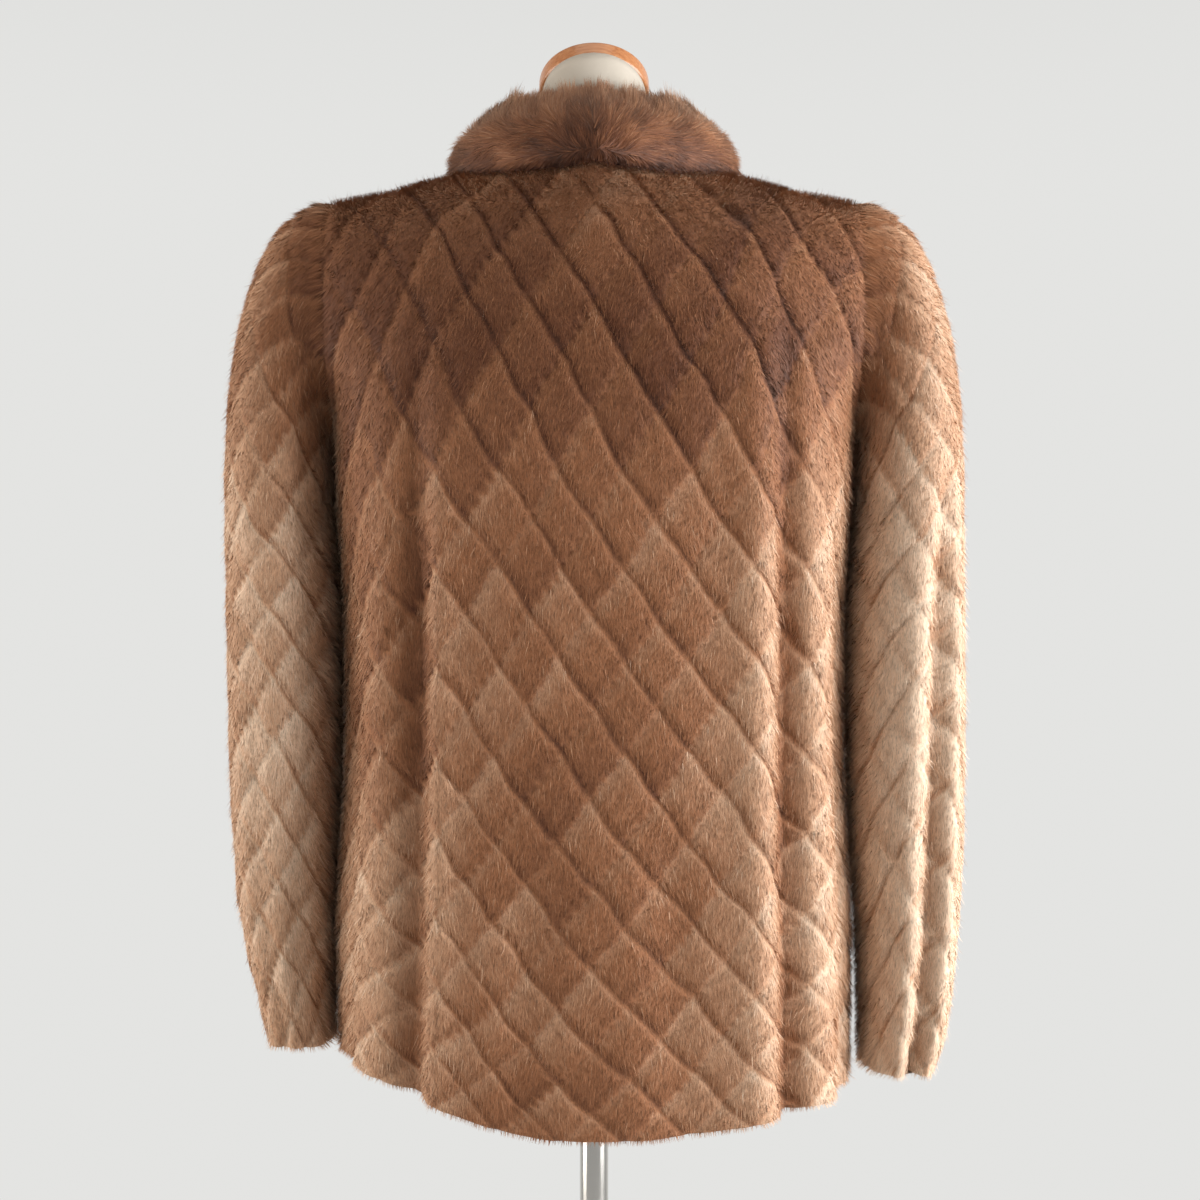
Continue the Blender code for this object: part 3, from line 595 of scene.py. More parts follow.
def paintTone(obj, tone):
    # tone: one value for each point of the mesh
    mesh = obj.data
    uv = mesh.uv_layers.new(name="fur")
    points = np.zeros(len(mesh.loops), np.int32)
    mesh.loops.foreach_get("vertex_index", points)
    places = np.zeros((len(points), 2))
    places[:, 0] = np.clip(tone, *toneLimits)[points]
    # small steps, so that no face is empty in the fur map
    places[:, 1] = 0.5 + 0.01 * (np.arange(len(points)) % 3)
    uv.data.foreach_set("uv", places.reshape(-1).astype(np.float32))


def weld(obj):
    bm = bmesh.new()
    bm.from_mesh(obj.data)
    bmesh.ops.remove_doubles(bm, verts=bm.verts[:], dist=tiny)
    bm.to_mesh(obj.data)
    bm.free()


furSettings = {
    "length": 0.0052,
    "lengthSpread": 0.22,
    "lengthLimits": (0.45, 1.6),
    "width": 0.00046,  # a guard hair is 0.1 mm thick; each one here stands for a few
    "widthLimits": (0.75, 1.3),
    "rootDepth": 0.0006,  # a hair starts this far inside the underfur
    "overhang": 0.0016,  # how far the lowest hairs of a diamond reach over its seam
    "overhangLimits": (0.3, 1.5),
    "hemHair": 0.0035,  # and over the hem
    "seamDepth": 0.0023,  # the pile below the seams that run down to the wearer's right
    "seamRamp": 0.32,
    "softSeamDepth": 0.0020,  # and below the others
    "softSeamRamp": 0.40,
    "tipSpread": 0.0004,
    "tipSink": 0.0003,
    "lean": {"lock": 0.10, "wisp": 0.07, "piece": 0.22, "hair": 0.10},  # sideways, over a hair's length
    "lockSize": 0.030,
    "wispSize": 0.008,
    # each edge: where it starts, and over how much it grows
    "headTurn": 0.8,  # on a sleeve's head the nap turns down
    "headRows": (-2, 2),
    "armholeLean": 0.9,  # and beside it the body's hairs lie over the seam
    "armholeCols": (-0.7, 0.6),
    "armholeRows": (-1, 1.5),
    "bridgeHairs": 5000,
    "bridgeReach": (0.001, 0.006),  # how far on the body's side those of the sleeve start
    "guardShare": 0.09,
    "guardLonger": (1.25, 0.002),  # guard hairs are a quarter and 2 mm longer
    "guardStand": 0.0045,  # the longest guard hairs stand this far above the pile
    "guardLimits": (0.1, 1.0),
    "guardBow": 1.8,
    # pale guard hairs: partly paler hairs, partly painted glints of the fur's sheen
    "paleGlintGuards": 0.35,
    "paleTone": (0.05, 0.22),
    "toneSpread": 0.042,
    "rollSpread": 0.75,  # radians that a hair is rolled about its length
    "turnSpread": 0.15,  # how far a hair's shading turns its own way
    "tipTurn": 0.10,  # and towards its tip
    "shadeDepth": 0.9,  # the pile is shaded as a surface almost as deep as the underfur
    "gapThin": 0.25,  # share of the hairs that goes where a sleeve faces the body
    "gapFluff": 0.0032,  # and how far those left there stand up
    "gapRound": (0.1, 0.7),  # round the sleeve, over the cosine of the angle
    "gapCols": (-1.5, 1.2),
    "shoulderFluff": 0.0012,
    "shoulderHigh": (1.17, 0.08),
    "ridgeFluff": 0.0022,
    # painted light: the pile along the shoulder ridge is painted paler
    "ridgePaintedLight": 0.14,
    "ridgeLines": 9.0,  # grid lines of the panel below the shoulder seam
}

toneSettings = {
    "piece": 0.14,  # from the darkest to the palest diamond
    "upper": (0.12, 0.9),  # paler below a short seam, partly the flat paler pile and partly painted light, and over which share of a diamond's half
    "upperSide": (0.07, 0.6),  # a little below a long one
    "lower": (-0.07, 0.8),  # darker above the short seams: partly browner hair tips, partly painted shade
    "lowerSide": (-0.05, 0.6),
    "seam": -0.29,  # painted shade: the dark line in a seam's groove
    "seamWide": (0.09, 0.07),  # below and above a long seam
    "seamBreak": 0.25,  # how much it comes and goes
    "shortWide": (0.10, 0.06),
    "shortBreak": 0.2,
    "aboveSeam": 0.5,  # the line is fainter above the seam
    "seamSize": 0.05,
    "high": (1.0, 0.28),  # from this height up, and over which height, the shoulders are darker: partly the pelts' darker brown, partly painted shade
    "flankPaintedLight": 0.22,  # painted light: the wearer's right flank is paler
    "flankEdge": (0.05, 0.10),
    "yokePaintedShade": -0.03,  # and painted shade makes the right shoulder darker
    "yokeEdge": (1.08, 0.20),
    "leftHemPaintedLight": 0.18,  # painted light: paler again low on the left
    "leftHemEdge": (0.08, 0.05),
    "leftHemTop": (1.0, 0.15),
    "meetReach": 0.055,  # a sleeve's head takes on the body's tone this near to the armhole
    "meetFoot": (0.06, 0.16),
    "cloud": 0.05,
    "cloudSize": 0.16,
}


def beyond(value, edge):
    # 0 up to the edge's start, 1 past its width
    start, width = edge
    return smooth((value - start) / width)


def pileTone(panel, place, cols, rows, shortSeams=True):
    # 0 is the darkest brown, 1 the palest; the same for the hairs and the underfur below them
    s = toneSettings
    x = place[..., 0]
    z = place[..., 2]
    p0, q0, dp, dq = lattice(cols, rows)
    u = panel["tone"] + s["cloud"] * waves(place, s["cloudSize"], 5)
    u = u + s["piece"] * (pieceNoise(p0, q0, 3) - 0.5)
    # paler and darker parts of each diamond: partly the pile's own tone, partly painted light and shade
    for name, away in (("upper", 1 - dp), ("upperSide", 1 - dq), ("lower", 1 + dp), ("lowerSide", 1 + dq)):
        change, ramp = s[name]
        u = u + change * (1 - smooth(away / ramp))
    # painted shade: dark lines along the seams' grooves
    below, above = s["seamWide"]
    broken = 1 - s["seamBreak"] + s["seamBreak"] * waves(place, s["seamSize"], 8)
    u = u + s["seam"] * (1 - smooth((1 - dq) / below)) * broken
    u = u + s["seam"] * s["aboveSeam"] * (1 - smooth((1 + dq) / above))
    if shortSeams:
        below, above = s["shortWide"]
        broken = 1 - s["shortBreak"] + s["shortBreak"] * waves(place, s["seamSize"], 9)
        u = u + s["seam"] * (1 - smooth((1 - dp) / below)) * broken
        u = u + s["seam"] * s["aboveSeam"] * (1 - smooth((1 + dp) / above))
    if panel["side"] == "back":
        # painted light on the wearer's right flank, painted shade on the right shoulder
        right = beyond(-x, s["flankEdge"])
        yokePaintedShade = beyond(z, s["yokeEdge"])
        u = u + right * (s["flankPaintedLight"] * (1 - yokePaintedShade) + s["yokePaintedShade"] * yokePaintedShade)
        # painted light: paler low on the left
        hemTop, hemFade = s["leftHemTop"]
        u = u + s["leftHemPaintedLight"] * beyond(x, s["leftHemEdge"]) * smooth((hemTop - z) / hemFade)
    if panel["side"] == "sleeve":
        # a sleeve's head has the tone of the body that it meets
        foot, fade = s["meetFoot"]
        meet = 1 - smooth((np.abs(x) - armPlane(z)) / s["meetReach"])
        meet = meet * smooth((z - underarmZ + foot) / fade)
        u = u + meet * (sum(panels["back"]["tone"]) - panel["tone"] - panel["shoulderTone"])
    # the shoulders darker: partly their own tone, partly painted shade
    return u + panel["shoulderTone"] * beyond(z, s["high"])


def sampleGrid(grid, r, c):
    r0 = np.clip(r.astype(int), 0, grid.shape[0] - 2)
    c0 = np.clip(c.astype(int), 0, grid.shape[1] - 2)
    fr = (r - r0)[:, None] if grid.ndim == 3 else r - r0
    fc = (c - c0)[:, None] if grid.ndim == 3 else c - c0
    low = grid[r0, c0] * (1 - fc) + grid[r0, c0 + 1] * fc
    high = grid[r0 + 1, c0] * (1 - fc) + grid[r0 + 1, c0 + 1] * fc
    return low * (1 - fr) + high * fr


def waves(points, size, seed):
    # soft noise from a few sine waves, about -1 to 1; every seed is a pattern of its own
    gen = np.random.default_rng(seed)
    out = np.zeros(points.shape[:-1])
    for _ in range(7):
        k = unit(gen.normal(size=3)) * (2 * math.pi / size) * gen.uniform(0.6, 1.6)
        out += np.sin(points @ k + gen.uniform(0, 6.28))
    return out / 3.5


def seamLean(panel, cols, rows, across):
    # hairs of the body lie over the armhole's seam; those of a sleeve head turn down
    s = furSettings
    if panel["side"] == "sleeve":
        return -across[:, 2] * s["headTurn"] * beyond(rows - sleeveCut["tubeRows"], s["headRows"])
    near = beyond(np.abs(cols) - bodyCut["sideCol"], s["armholeCols"])
    near = near * beyond(rows - bodyCut["underarmRow"], s["armholeRows"])
    return near * s["armholeLean"] * np.sign(across[:, 0]) * np.sign(cols)


def growFur(name, panel, count, seed, material):
    s = furSettings
    gen = np.random.default_rng(seed)
    tips = panel["tips"]
    last = tips.shape[0] - 1
    du = tips[1:, :-1] - tips[:-1, :-1]
    dv = tips[:-1, 1:] - tips[:-1, :-1]
    areas = np.linalg.norm(np.cross(du, dv), axis=2)
    areas = (areas * panel["density"][:-1, :-1]).ravel()
    cells = gen.choice(len(areas), size=count, p=areas / areas.sum())
    nc = tips.shape[1] - 1
    r = cells // nc + gen.random(count)
    c = cells % nc + gen.random(count)
    bridge = np.zeros(count)
    if panel["side"] == "sleeve":
        # the last hairs start on the body's side and lie over the armhole's seam
        extra = np.arange(count) >= count - s["bridgeHairs"]
        r = np.where(extra, last - gen.random(count), r)
        bridge = np.where(extra, gen.uniform(*s["bridgeReach"], count), 0.0)
    place = sampleGrid(tips, r, c)
    normal = unit(sampleGrid(panel["normals"], r, c))
    cols = sampleGrid(panel["colGrid"], r, c)
    rows = sampleGrid(panel["rowGrid"], r, c)
    pieceCols = sampleGrid(panel["pieceCols"], r, c)
    p0, q0, dp, dq = lattice(pieceCols, rows)
    above = np.minimum(r + 0.5, last)
    below = np.maximum(r - 0.5, 0)
    step = sampleGrid(tips, below, c) - sampleGrid(tips, above, c)
    stepSize = np.linalg.norm(step, axis=1) / (above - below)
    downward = unit(step)
    across = unit(np.cross(normal, downward))
    # locks lean a little together, each hair a little on its own
    share = s["lean"]
    lean = share["lock"] * waves(place, s["lockSize"], 21) + share["wisp"] * waves(place, s["wispSize"], 22)
    lean += share["piece"] * (pieceNoise(p0, q0, 9) - 0.5) + gen.normal(0, share["hair"], count)
    lean += seamLean(panel, cols, rows, across)
    length = s["length"] * (1 + s["lengthSpread"] * gen.normal(size=count)).clip(*s["lengthLimits"])
    rowSteps = sampleGrid(panel["rowGrid"], above, c) - sampleGrid(panel["rowGrid"], below, c)
    rowSize = stepSize * (above - below) / np.maximum(rowSteps, tiny)
    toSeam = np.minimum(1 + dp, 1 + dq) * rowSize
    length = np.minimum(length, toSeam + s["overhang"] * gen.uniform(*s["overhangLimits"], count))
    rootDepth = peltDepth(pieceCols, rows, sampleGrid(panel["edge"], r, c)) + s["rootDepth"]
    tipDepth = np.maximum(
        s["seamDepth"] * (1 - smooth((1 - dq) / s["seamRamp"])),
        s["softSeamDepth"] * (1 - smooth((1 - dp) / s["softSeamRamp"])),
    )
    tipDepth = tipDepth - np.abs(gen.normal(0, s["tipSpread"], count)) + s["tipSink"]
    tipDepth = tipDepth - sampleGrid(panel["fluff"], r, c)
    guard = gen.random(count) < s["guardShare"]
    times, more = s["guardLonger"]
    length = np.where(guard, length * times + more, length)
    stand = s["guardStand"] * gen.uniform(*s["guardLimits"], count) ** s["guardBow"]
    tipDepth = np.where(guard, tipDepth - stand, tipDepth)
    # the tip follows the surface down the nap, also round a shoulder or into a fold
    target = r - length / np.maximum(stepSize, tiny)
    end = sampleGrid(tips, np.maximum(target, 0), c)
    past = np.maximum(-target, 0) * stepSize
    end += downward * np.minimum(past, s["hemHair"])[:, None] + across * (lean * length)[:, None]
    endNormal = unit(sampleGrid(panel["normals"], np.maximum(target, 0), c))
    root = place - normal * np.where(bridge > 0, 0.0, rootDepth)[:, None]
    root[:, 0] -= bridge * np.sign(place[:, 0])
    tip = end - endNormal * tipDepth[:, None]
    pile = sampleGrid(panel["pileNormals"], r, c)
    # colour: u is the tone from dark to pale, v runs from root to tip
    # with painted shade in the creases, painted light on crests and along the shoulder ridge
    u = pileTone(panel, place, pieceCols, rows) + sampleGrid(panel["paintedLightAndShade"], r, c)
    u += gen.normal(0, s["toneSpread"], count)
    # pale guard hairs: partly paler hairs, partly painted glints of the fur's sheen
    pale = guard & (gen.random(count) < s["paleGlintGuards"])
    u = np.where(pale, u + gen.uniform(*s["paleTone"], count), u)
    verts, shade = blades(gen, root, tip, normal, pile)
    return hairMesh(name, verts, shade, u, material)


def blades(gen, root, tip, normal, pile, wider=1.0, turn=furSettings["turnSpread"]):
    # each hair is one slim triangle, its shading close to the pile's
    s = furSettings
    count = len(root)
    axis = unit(tip - root)
    roll = gen.normal(0, s["rollSpread"], count)
    flat = unit(np.cross(axis, normal))
    side = flat * np.cos(roll)[:, None] + np.cross(axis, flat) * np.sin(roll)[:, None]
    half = side * (s["width"] * wider * gen.uniform(*s["widthLimits"], count) / 2)[:, None]
    inward = np.sum(np.cross(half, tip - root) * normal, axis=1) < 0
    half = np.where(inward[:, None], -half, half)
    verts = np.stack((root - half, root + half, tip), 1)
    shade = pile + flat * gen.normal(0, turn, count)[:, None]
    shade = shade + axis * (s["tipTurn"] + gen.normal(0, turn / 2, count))[:, None]
    return verts, unit(shade)


def hairMesh(name, verts, shade, tone, material):
    count = len(verts)
    mesh = bpy.data.meshes.new(name)
    mesh.vertices.add(count * 3)
    mesh.vertices.foreach_set("co", verts.reshape(-1).astype(np.float32))
    mesh.loops.add(count * 3)
    mesh.loops.foreach_set("vertex_index", np.arange(count * 3, dtype=np.int32))
    mesh.polygons.add(count)
    mesh.polygons.foreach_set("loop_start", np.arange(0, count * 3, 3, dtype=np.int32))
    mesh.update(calc_edges=True)
    uv = mesh.uv_layers.new(name="fur")
    spread = 0.006  # so that no hair is empty in the fur map
    tone = np.clip(tone, *toneLimits)
    places = np.zeros((count, 3, 2))
    places[:, 0, 0] = tone - spread
    places[:, 1, 0] = tone + spread
    places[:, 2, 0] = tone
    places[:, 2, 1] = 1.0
    uv.data.foreach_set("uv", places.reshape(-1).astype(np.float32))
    mesh.polygons.foreach_set("use_smooth", np.ones(count, bool))
    mesh.normals_split_custom_set(np.repeat(shade, 3, axis=0).astype(np.float32))
    mesh.materials.append(material)
    obj = bpy.data.objects.new(name, mesh)
    bpy.context.scene.collection.objects.link(obj)
    return obj


def pileNormals(panel):
    depth = peltDepth(panel["pieceCols"], panel["rowGrid"]) * furSettings["shadeDepth"]
    normals = gridNormals(panel["tips"] - panel["normals"] * depth[..., None], panel["sign"])
    if panel["closed"]:
        normals[:, 0] = normals[:, -1] = unit(normals[:, 0] + normals[:, -1])
    panel["pileNormals"] = normals


def shareHairs(panel):
    # where a sleeve and the body face each other the hairs stand up and close the gap
    s = furSettings
    if panel["side"] == "sleeve":
        a = 2 * math.pi * panel["colGrid"] / sleeveCut["cols"]
        inner = beyond(np.cos(a), s["gapRound"]) * (panel["rowGrid"] <= sleeveCut["tubeRows"])
    else:
        side = beyond(np.abs(panel["colGrid"]) - bodyCut["sideCol"], s["gapCols"])
        inner = side * (panel["rowGrid"] <= bodyCut["underarmRow"])
    panel["density"] = 1 - s["gapThin"] * inner
    # the pile stands fuller over the shoulders, most where two panels meet on top
    high = beyond(panel["tips"][..., 2], s["shoulderHigh"])
    toTop = np.arange(panel["tips"].shape[0])[::-1, None]
    ridge = 0.0 if panel["side"] == "sleeve" else high * (1 - smooth(toTop / s["ridgeLines"]))
    panel["fluff"] = s["gapFluff"] * inner + s["shoulderFluff"] * high + s["ridgeFluff"] * ridge
    # painted light: the pile along the shoulder ridge is painted paler
    panel["paintedLightAndShade"] = panel["paintedLightAndShade"] + s["ridgePaintedLight"] * ridge


minkColors = [
    (0.0, "#3A1C0E"), (0.25, "#6E3F25"), (0.5, "#A06A46"), (0.75, "#CCA180"), (1.0, "#F0D6BC"),
]
sheenColor = "#F2D2B4"


def toneTimes(tree, factor, darken):
    # the jacket's browns, picked by the tone in the fur map and multiplied by a grey ramp
    uv = addNode(tree, "ShaderNodeUVMap", {"uv_map": "fur"})
    split = addNode(tree, "ShaderNodeSeparateXYZ", links={0: uv.outputs["UV"]})
    tone = addNode(tree, "ShaderNodeValToRGB", {"stops": minkColors}, {0: split.outputs["X"]})
    along = split.outputs["Y"] if factor is None else factor
    dark = addNode(tree, "ShaderNodeValToRGB", {"stops": darken}, {0: along})
    mix = addNode(
        tree, "ShaderNodeMix", {"data_type": "RGBA", "blend_type": "MULTIPLY", "Factor": 1.0},
        {6: tone.outputs["Color"], 7: dark.outputs["Color"]},
    )
    return mix.outputs[2]


def minkFur():
    # mink guard hair, dressed and glazed: silky, with a soft gloss, darker towards its root
    mat, tree, shader = newMaterial("minkGuardHair", {
        "Roughness": 0.55, "IOR": 1.55, "Specular IOR Level": 0.25,
        "Sheen Weight": 0.40, "Sheen Roughness": 0.45, "Sheen Tint": hexColor(sheenColor),
    })
    color = toneTimes(tree, None, [(0.0, 0.70), (0.45, 0.96), (1.0, 1.0)])
    tree.links.new(color, shader.inputs["Base Color"])
    return mat


def minkUnderfur():
    # dense underfur between the guard hairs, brushed out: matte, darker between its tufts.
    # Its hairs are 0.02 mm thick, too fine to show, so flecks of 0.8 by 4 mm along the nap stand for them
    mat, tree, shader = newMaterial("minkUnderfur", {
        "Roughness": 0.85, "Sheen Weight": 0.25, "Sheen Roughness": 0.5, "Sheen Tint": hexColor(sheenColor),
    })
    place = addNode(tree, "ShaderNodeTexCoord").outputs["Object"]
    scale = addNode(tree, "ShaderNodeMapping", {"Scale": (1250.0, 1250.0, 250.0)}, {"Vector": place})
    settings = {"Scale": 1.0, "Detail": 3.0, "Roughness": 0.6}
    flecks = addNode(tree, "ShaderNodeTexNoise", settings, {"Vector": scale.outputs[0]}).outputs["Fac"]
    color = toneTimes(tree, flecks, [(0.32, 0.45), (0.50, 0.80), (0.70, 1.0)])
    tree.links.new(color, shader.inputs["Base Color"])
    bump = addNode(tree, "ShaderNodeBump", {"Strength": 0.5, "Distance": 0.0006}, {"Height": flecks})
    tree.links.new(bump.outputs[0], shader.inputs["Normal"])
    return mat


def tannedSkin():
    # the skin side of the pelts, tanned and plain: soft suede without gloss, in clouds of 70 mm.
    # Its nap is 0.3 mm long, too fine to show, and drawn 1 mm wide
    mat, tree, shader = newMaterial("tannedSkinSide", {"Roughness": 0.92})
    place = addNode(tree, "ShaderNodeTexCoord").outputs["Object"]
    nap = addNode(tree, "ShaderNodeTexNoise", {"Scale": 900.0, "Detail": 4.0}, {"Vector": place})
    nap = nap.outputs["Fac"]
    cloud = addNode(tree, "ShaderNodeTexNoise", {"Scale": 14.0, "Detail": 3.0}, {"Vector": place})
    both = addNode(tree, "ShaderNodeMath", {"operation": "ADD"}, {0: nap, 1: cloud.outputs["Fac"]})
    colors = [(0.35, "#A98A6C"), (0.75, "#C9AD8D")]
    tone = addNode(tree, "ShaderNodeValToRGB", {"stops": colors}, {0: both.outputs[0]})
    tree.links.new(tone.outputs["Color"], shader.inputs["Base Color"])
    bump = addNode(tree, "ShaderNodeBump", {"Strength": 0.4, "Distance": 0.0003}, {"Height": nap})
    tree.links.new(bump.outputs[0], shader.inputs["Normal"])
    return mat


guardHair = minkFur()
underfur = minkUnderfur()
skinSide = tannedSkin()
print("fur and skin ready")


most = 190000  # hairs in one piece
panels = {
    # cut: the flat size of the sheet; tone near the hem, and what the shoulders lose, partly to painted shade
    "back": {
        "shape": (bodyPanel, "back", 0), "hairs": 330000, "seed": 100, "tone": (0.52, -0.165),
        "cut": (0.52, 0.70), "area": 0.33, "on": "form_torso",
    },
    "front_left": {
        "shape": (bodyPanel, "front", 1), "hairs": 80000, "seed": 200, "tone": (0.55, -0.02),
        "cut": (0.26, 0.70), "area": 0.16, "on": "form_torso",
    },
    "front_right": {
        "shape": (bodyPanel, "front", -1), "hairs": 80000, "seed": 300, "tone": (0.55, -0.02),
        "cut": (0.26, 0.70), "area": 0.16, "on": "form_torso",
    },
    "sleeve_left": {
        "shape": (sleevePanel, "left"), "hairs": 155000, "seed": 400, "tone": (0.80, -0.16),
        "cut": (0.37, 0.66), "area": 0.20, "on": "back",
    },
    # its pelts are paler than the body's, and the extra paleness of this right sleeve is painted light
    "sleeve_right": {
        "shape": (sleevePanel, "right"), "hairs": 155000, "seed": 500, "tone": (0.96, -0.18),
        "cut": (0.37, 0.68), "area": 0.21, "on": "back",
    },
}


def dress(node, sizes):
    shape, *which = sizes["shape"]
    panel = shape(*which, peltSettings["sub"])
    panel["tone"], panel["shoulderTone"] = sizes["tone"]
    finishPanel(panel)
    pileNormals(panel)
    shareHairs(panel)
    pelt = makePelt(node + "_pelt", panel, [underfur, skinSide])
    parts = math.ceil(sizes["hairs"] / most)
    furs = []
    for k in range(parts):
        name = f"{node}_fur_{k + 1}"
        furs.append(growFur(name, panel, sizes["hairs"] // parts, sizes["seed"] + 10 * k, guardHair))
    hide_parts(node)
    for piece in [pelt] + furs:
        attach(piece, "root")
    print(node, "dressed")


for node, sizes in panels.items():
    dress(node, sizes)

collarCut = {
    "rise": 0.057,
    "lean": 0.60,  # the lip's size over the neck seam's
    "curl": 2.0,
    "rows": 28,
    "pile": 0.0040,  # how far the band swells
    "foot": 0.0012,  # its gap to the neck seam
    "level": 0.35,  # share of the neck seam's fall that the lip evens out
    "swell": 0.6,  # roundness of the band seen in section
    "middle": 0.006,
    "seamCols": 5,
    "steps": 8,  # between two columns of the neck seam
    "under": 0.0035,  # the underfur below the tips
    "lip": 0.5,  # the lip's thickness over the wall's
    "outRings": 15,
    "inRings": 10,
}


def neckSeam():
    # the upper edge of the panels, from the left front edge round the back to the right one
    cut = bodyCut
    top = np.array([float(cut["topRow"])])
    cols = np.arange(float(collarCut["seamCols"]))
    back = bodyTips("back", cols, top)[0][0]
    front = bodyTips("front", cols, top)[0][0] * (1, -1, 1)
    front[0, 0] = collarCut["foot"]
    corner = np.array([[cut["neckX"], 0, cut["neckZ"]]])
    left = np.concatenate((front, corner, back[::-1]))
    right = left[-2::-1] * (-1, 1, 1)
    points = np.concatenate((left, right))
    # a Catmull-Rom curve through the seam's points
    ends = np.concatenate((2 * points[:1] - points[1:2], points, 2 * points[-1:] - points[-2:-1]))
    out = []
    for k in range(len(points) - 1):
        a, b, c, d = ends[k:k + 4]
        for t in np.arange(collarCut["steps"]) / collarCut["steps"]:
            curve = (2 * a - 5 * b + 4 * c - d) * t ** 2
            out.append(0.5 * (2 * b + (c - a) * t + curve + (3 * b - a - 3 * c + d) * t ** 3))
    out.append(points[-1])
    return np.array(out)


def collarRing(seam, up, swell):
    cut = collarCut
    flat = seam[:, :2] - (0, cut["middle"])
    radial = unit(flat)
    shrink = 1 - (1 - cut["lean"]) * max(up, 0) ** cut["curl"]
    place = np.zeros_like(seam)
    place[:, :2] = flat * shrink + radial * swell + (0, cut["middle"])
    level = seam[:, 2] + (bodyCut["neckZ"] - seam[:, 2]) * cut["level"] * up
    place[:, 2] = level + cut["foot"] + cut["rise"] * up
    half = len(seam) // 2
    place[:half, 0] = np.maximum(place[:half, 0], cut["foot"])
    place[half + 1:, 0] = np.minimum(place[half + 1:, 0], -cut["foot"])
    return place


def collarSwell(up):
    return collarCut["pile"] * math.sin(math.pi * max(up, 0)) ** collarCut["swell"]


def collarPanel():
    seam = neckSeam()
    rows = np.linspace(-0.05, 1, collarCut["rows"] + 1)  # the lowest hairs root just below the seam
    tips = np.array([collarRing(seam, up, collarSwell(up)) for up in rows])
    cols = np.linspace(-1, 1, len(seam))
    return {
        "cols": cols, "rows": rows, "tips": tips, "sign": 1, "side": "collar", "closed": False,
    }


def collarShell(materials):
    seam = neckSeam()
    thick = wall["thickness"]
    lip = thick * collarCut["lip"]
    rings = []
    for up in np.linspace(0, 1, collarCut["outRings"]):
        rings.append(collarRing(seam, up, collarSwell(up) - collarCut["under"]))
    for up in np.linspace(1, 0, collarCut["inRings"]):
        rings.append(collarRing(seam, up, -(lip + (thick - lip) * (1 - up))))
    rings = np.array(rings)
    nr, nc = rings.shape[:2]
    faces = gridFaces(nr, nc, 0, False)
    top = (nr - 1) * nc
    faces += [(top + k, top + k + 1, k + 1, k) for k in range(nc - 1)]
    faces.append(tuple(range(0, nr * nc, nc)))
    faces.append(tuple(range(nc - 1, nr * nc, nc))[::-1])
    return meshObject("collar_band", rings.reshape(-1, 3), faces, materials)


def awayFromBack(sideways, place):
    # +1 or -1, so that a direction along the band leads from the centre back to the front
    ahead = sideways[:, 0] * np.abs(place[:, 1]) * np.sign(place[:, 0]) * np.where(place[:, 1] > 0, 1, -1)
    ahead -= sideways[:, 1] * np.abs(place[:, 0])
    return np.where(ahead > 0, 1, -1)[:, None]


collarFur = {
    "hairs": 56000,
    "seed": 600,
    "length": 0.0130,
    "lengthLimits": (0.6, 1.15),
    "footShare": 0.5,  # how long they are at the foot of the band
    "footReach": 0.22,
    "lipLoss": 0.25,  # and how much shorter at its lip
    "lipEdge": (0.8, 0.2),
    "stand": 0.0065,
    "standLimits": (0.2, 1.0),
    "standBow": 1.5,
    "leastStand": 0.15,
    "lipStand": (0.6, 0.9),
    "lipStandEdge": (0.75, 0.25),
    "root": 0.0032,
    "backEdge": 0.05,  # the depth over which the back passes into the front
    "sweep": 0.9,  # along the band, away from the centre back
    "sweepLeast": 0.4,
    "sweepReach": 0.06,
    "sweepLoss": 0.55,  # less of it towards the lip
    "sweepLossEdge": (0.5, 0.3),
    "sweepWaves": ((0.45, 0.026, 43), (0.20, 0.010, 44)),
    "foot": -1.2,  # up the band: the lowest hairs hang over the seam
    "footEdge": (0.04, 0.14),
    "splay": 1.3,  # and stand out with the shoulders
    "splayReach": 0.16,
    "middle": -0.30,
    "spray": 0.030,  # at the centre back they part and rise instead
    "sprayRise": 1.1,
    "sprayCalm": 0.6,
    "top": 1.15,
    "topEdge": (0.45, 0.35),
    "riseWaves": ((0.45, 0.030, 41), (0.25, 0.011, 42)),
    "stray": (0.14, 0.10),  # along and up the band
    "tuftSize": 0.013,
    "tuftLength": (0.8, 0.3),
    "wider": 1.35,
    "turnSpread": 0.30,
    "pileTurn": 0.25,
    "tone": 0.26,
    "bandTone": 0.18,
    "toneSpread": 0.07,
    "cloud": 0.11,
    "cloudSize": 0.040,
    "tuftTone": 0.14,
    # paler towards the lip: its light-tipped hairs, with a painted highlight
    "topToneAndHighlight": 0.10,
    "topToneEdge": (0.55, 0.4),
    # painted shade: the band's foot, under its roll, is darker
    "footPaintedShade": -0.16,
    "partTone": -0.22,  # the dark spot where the hairs part
    "partWide": 0.016,
    "partAt": 0.30,
    "partHigh": 0.16,
    "guardShare": 0.08,
    "guardLonger": 1.4,
    "paleShare": 0.06,
    "paleTone": (0.1, 0.3),
}


def waveSum(place, parts):
    return sum(share * waves(place, size, seed) for share, size, seed in parts)


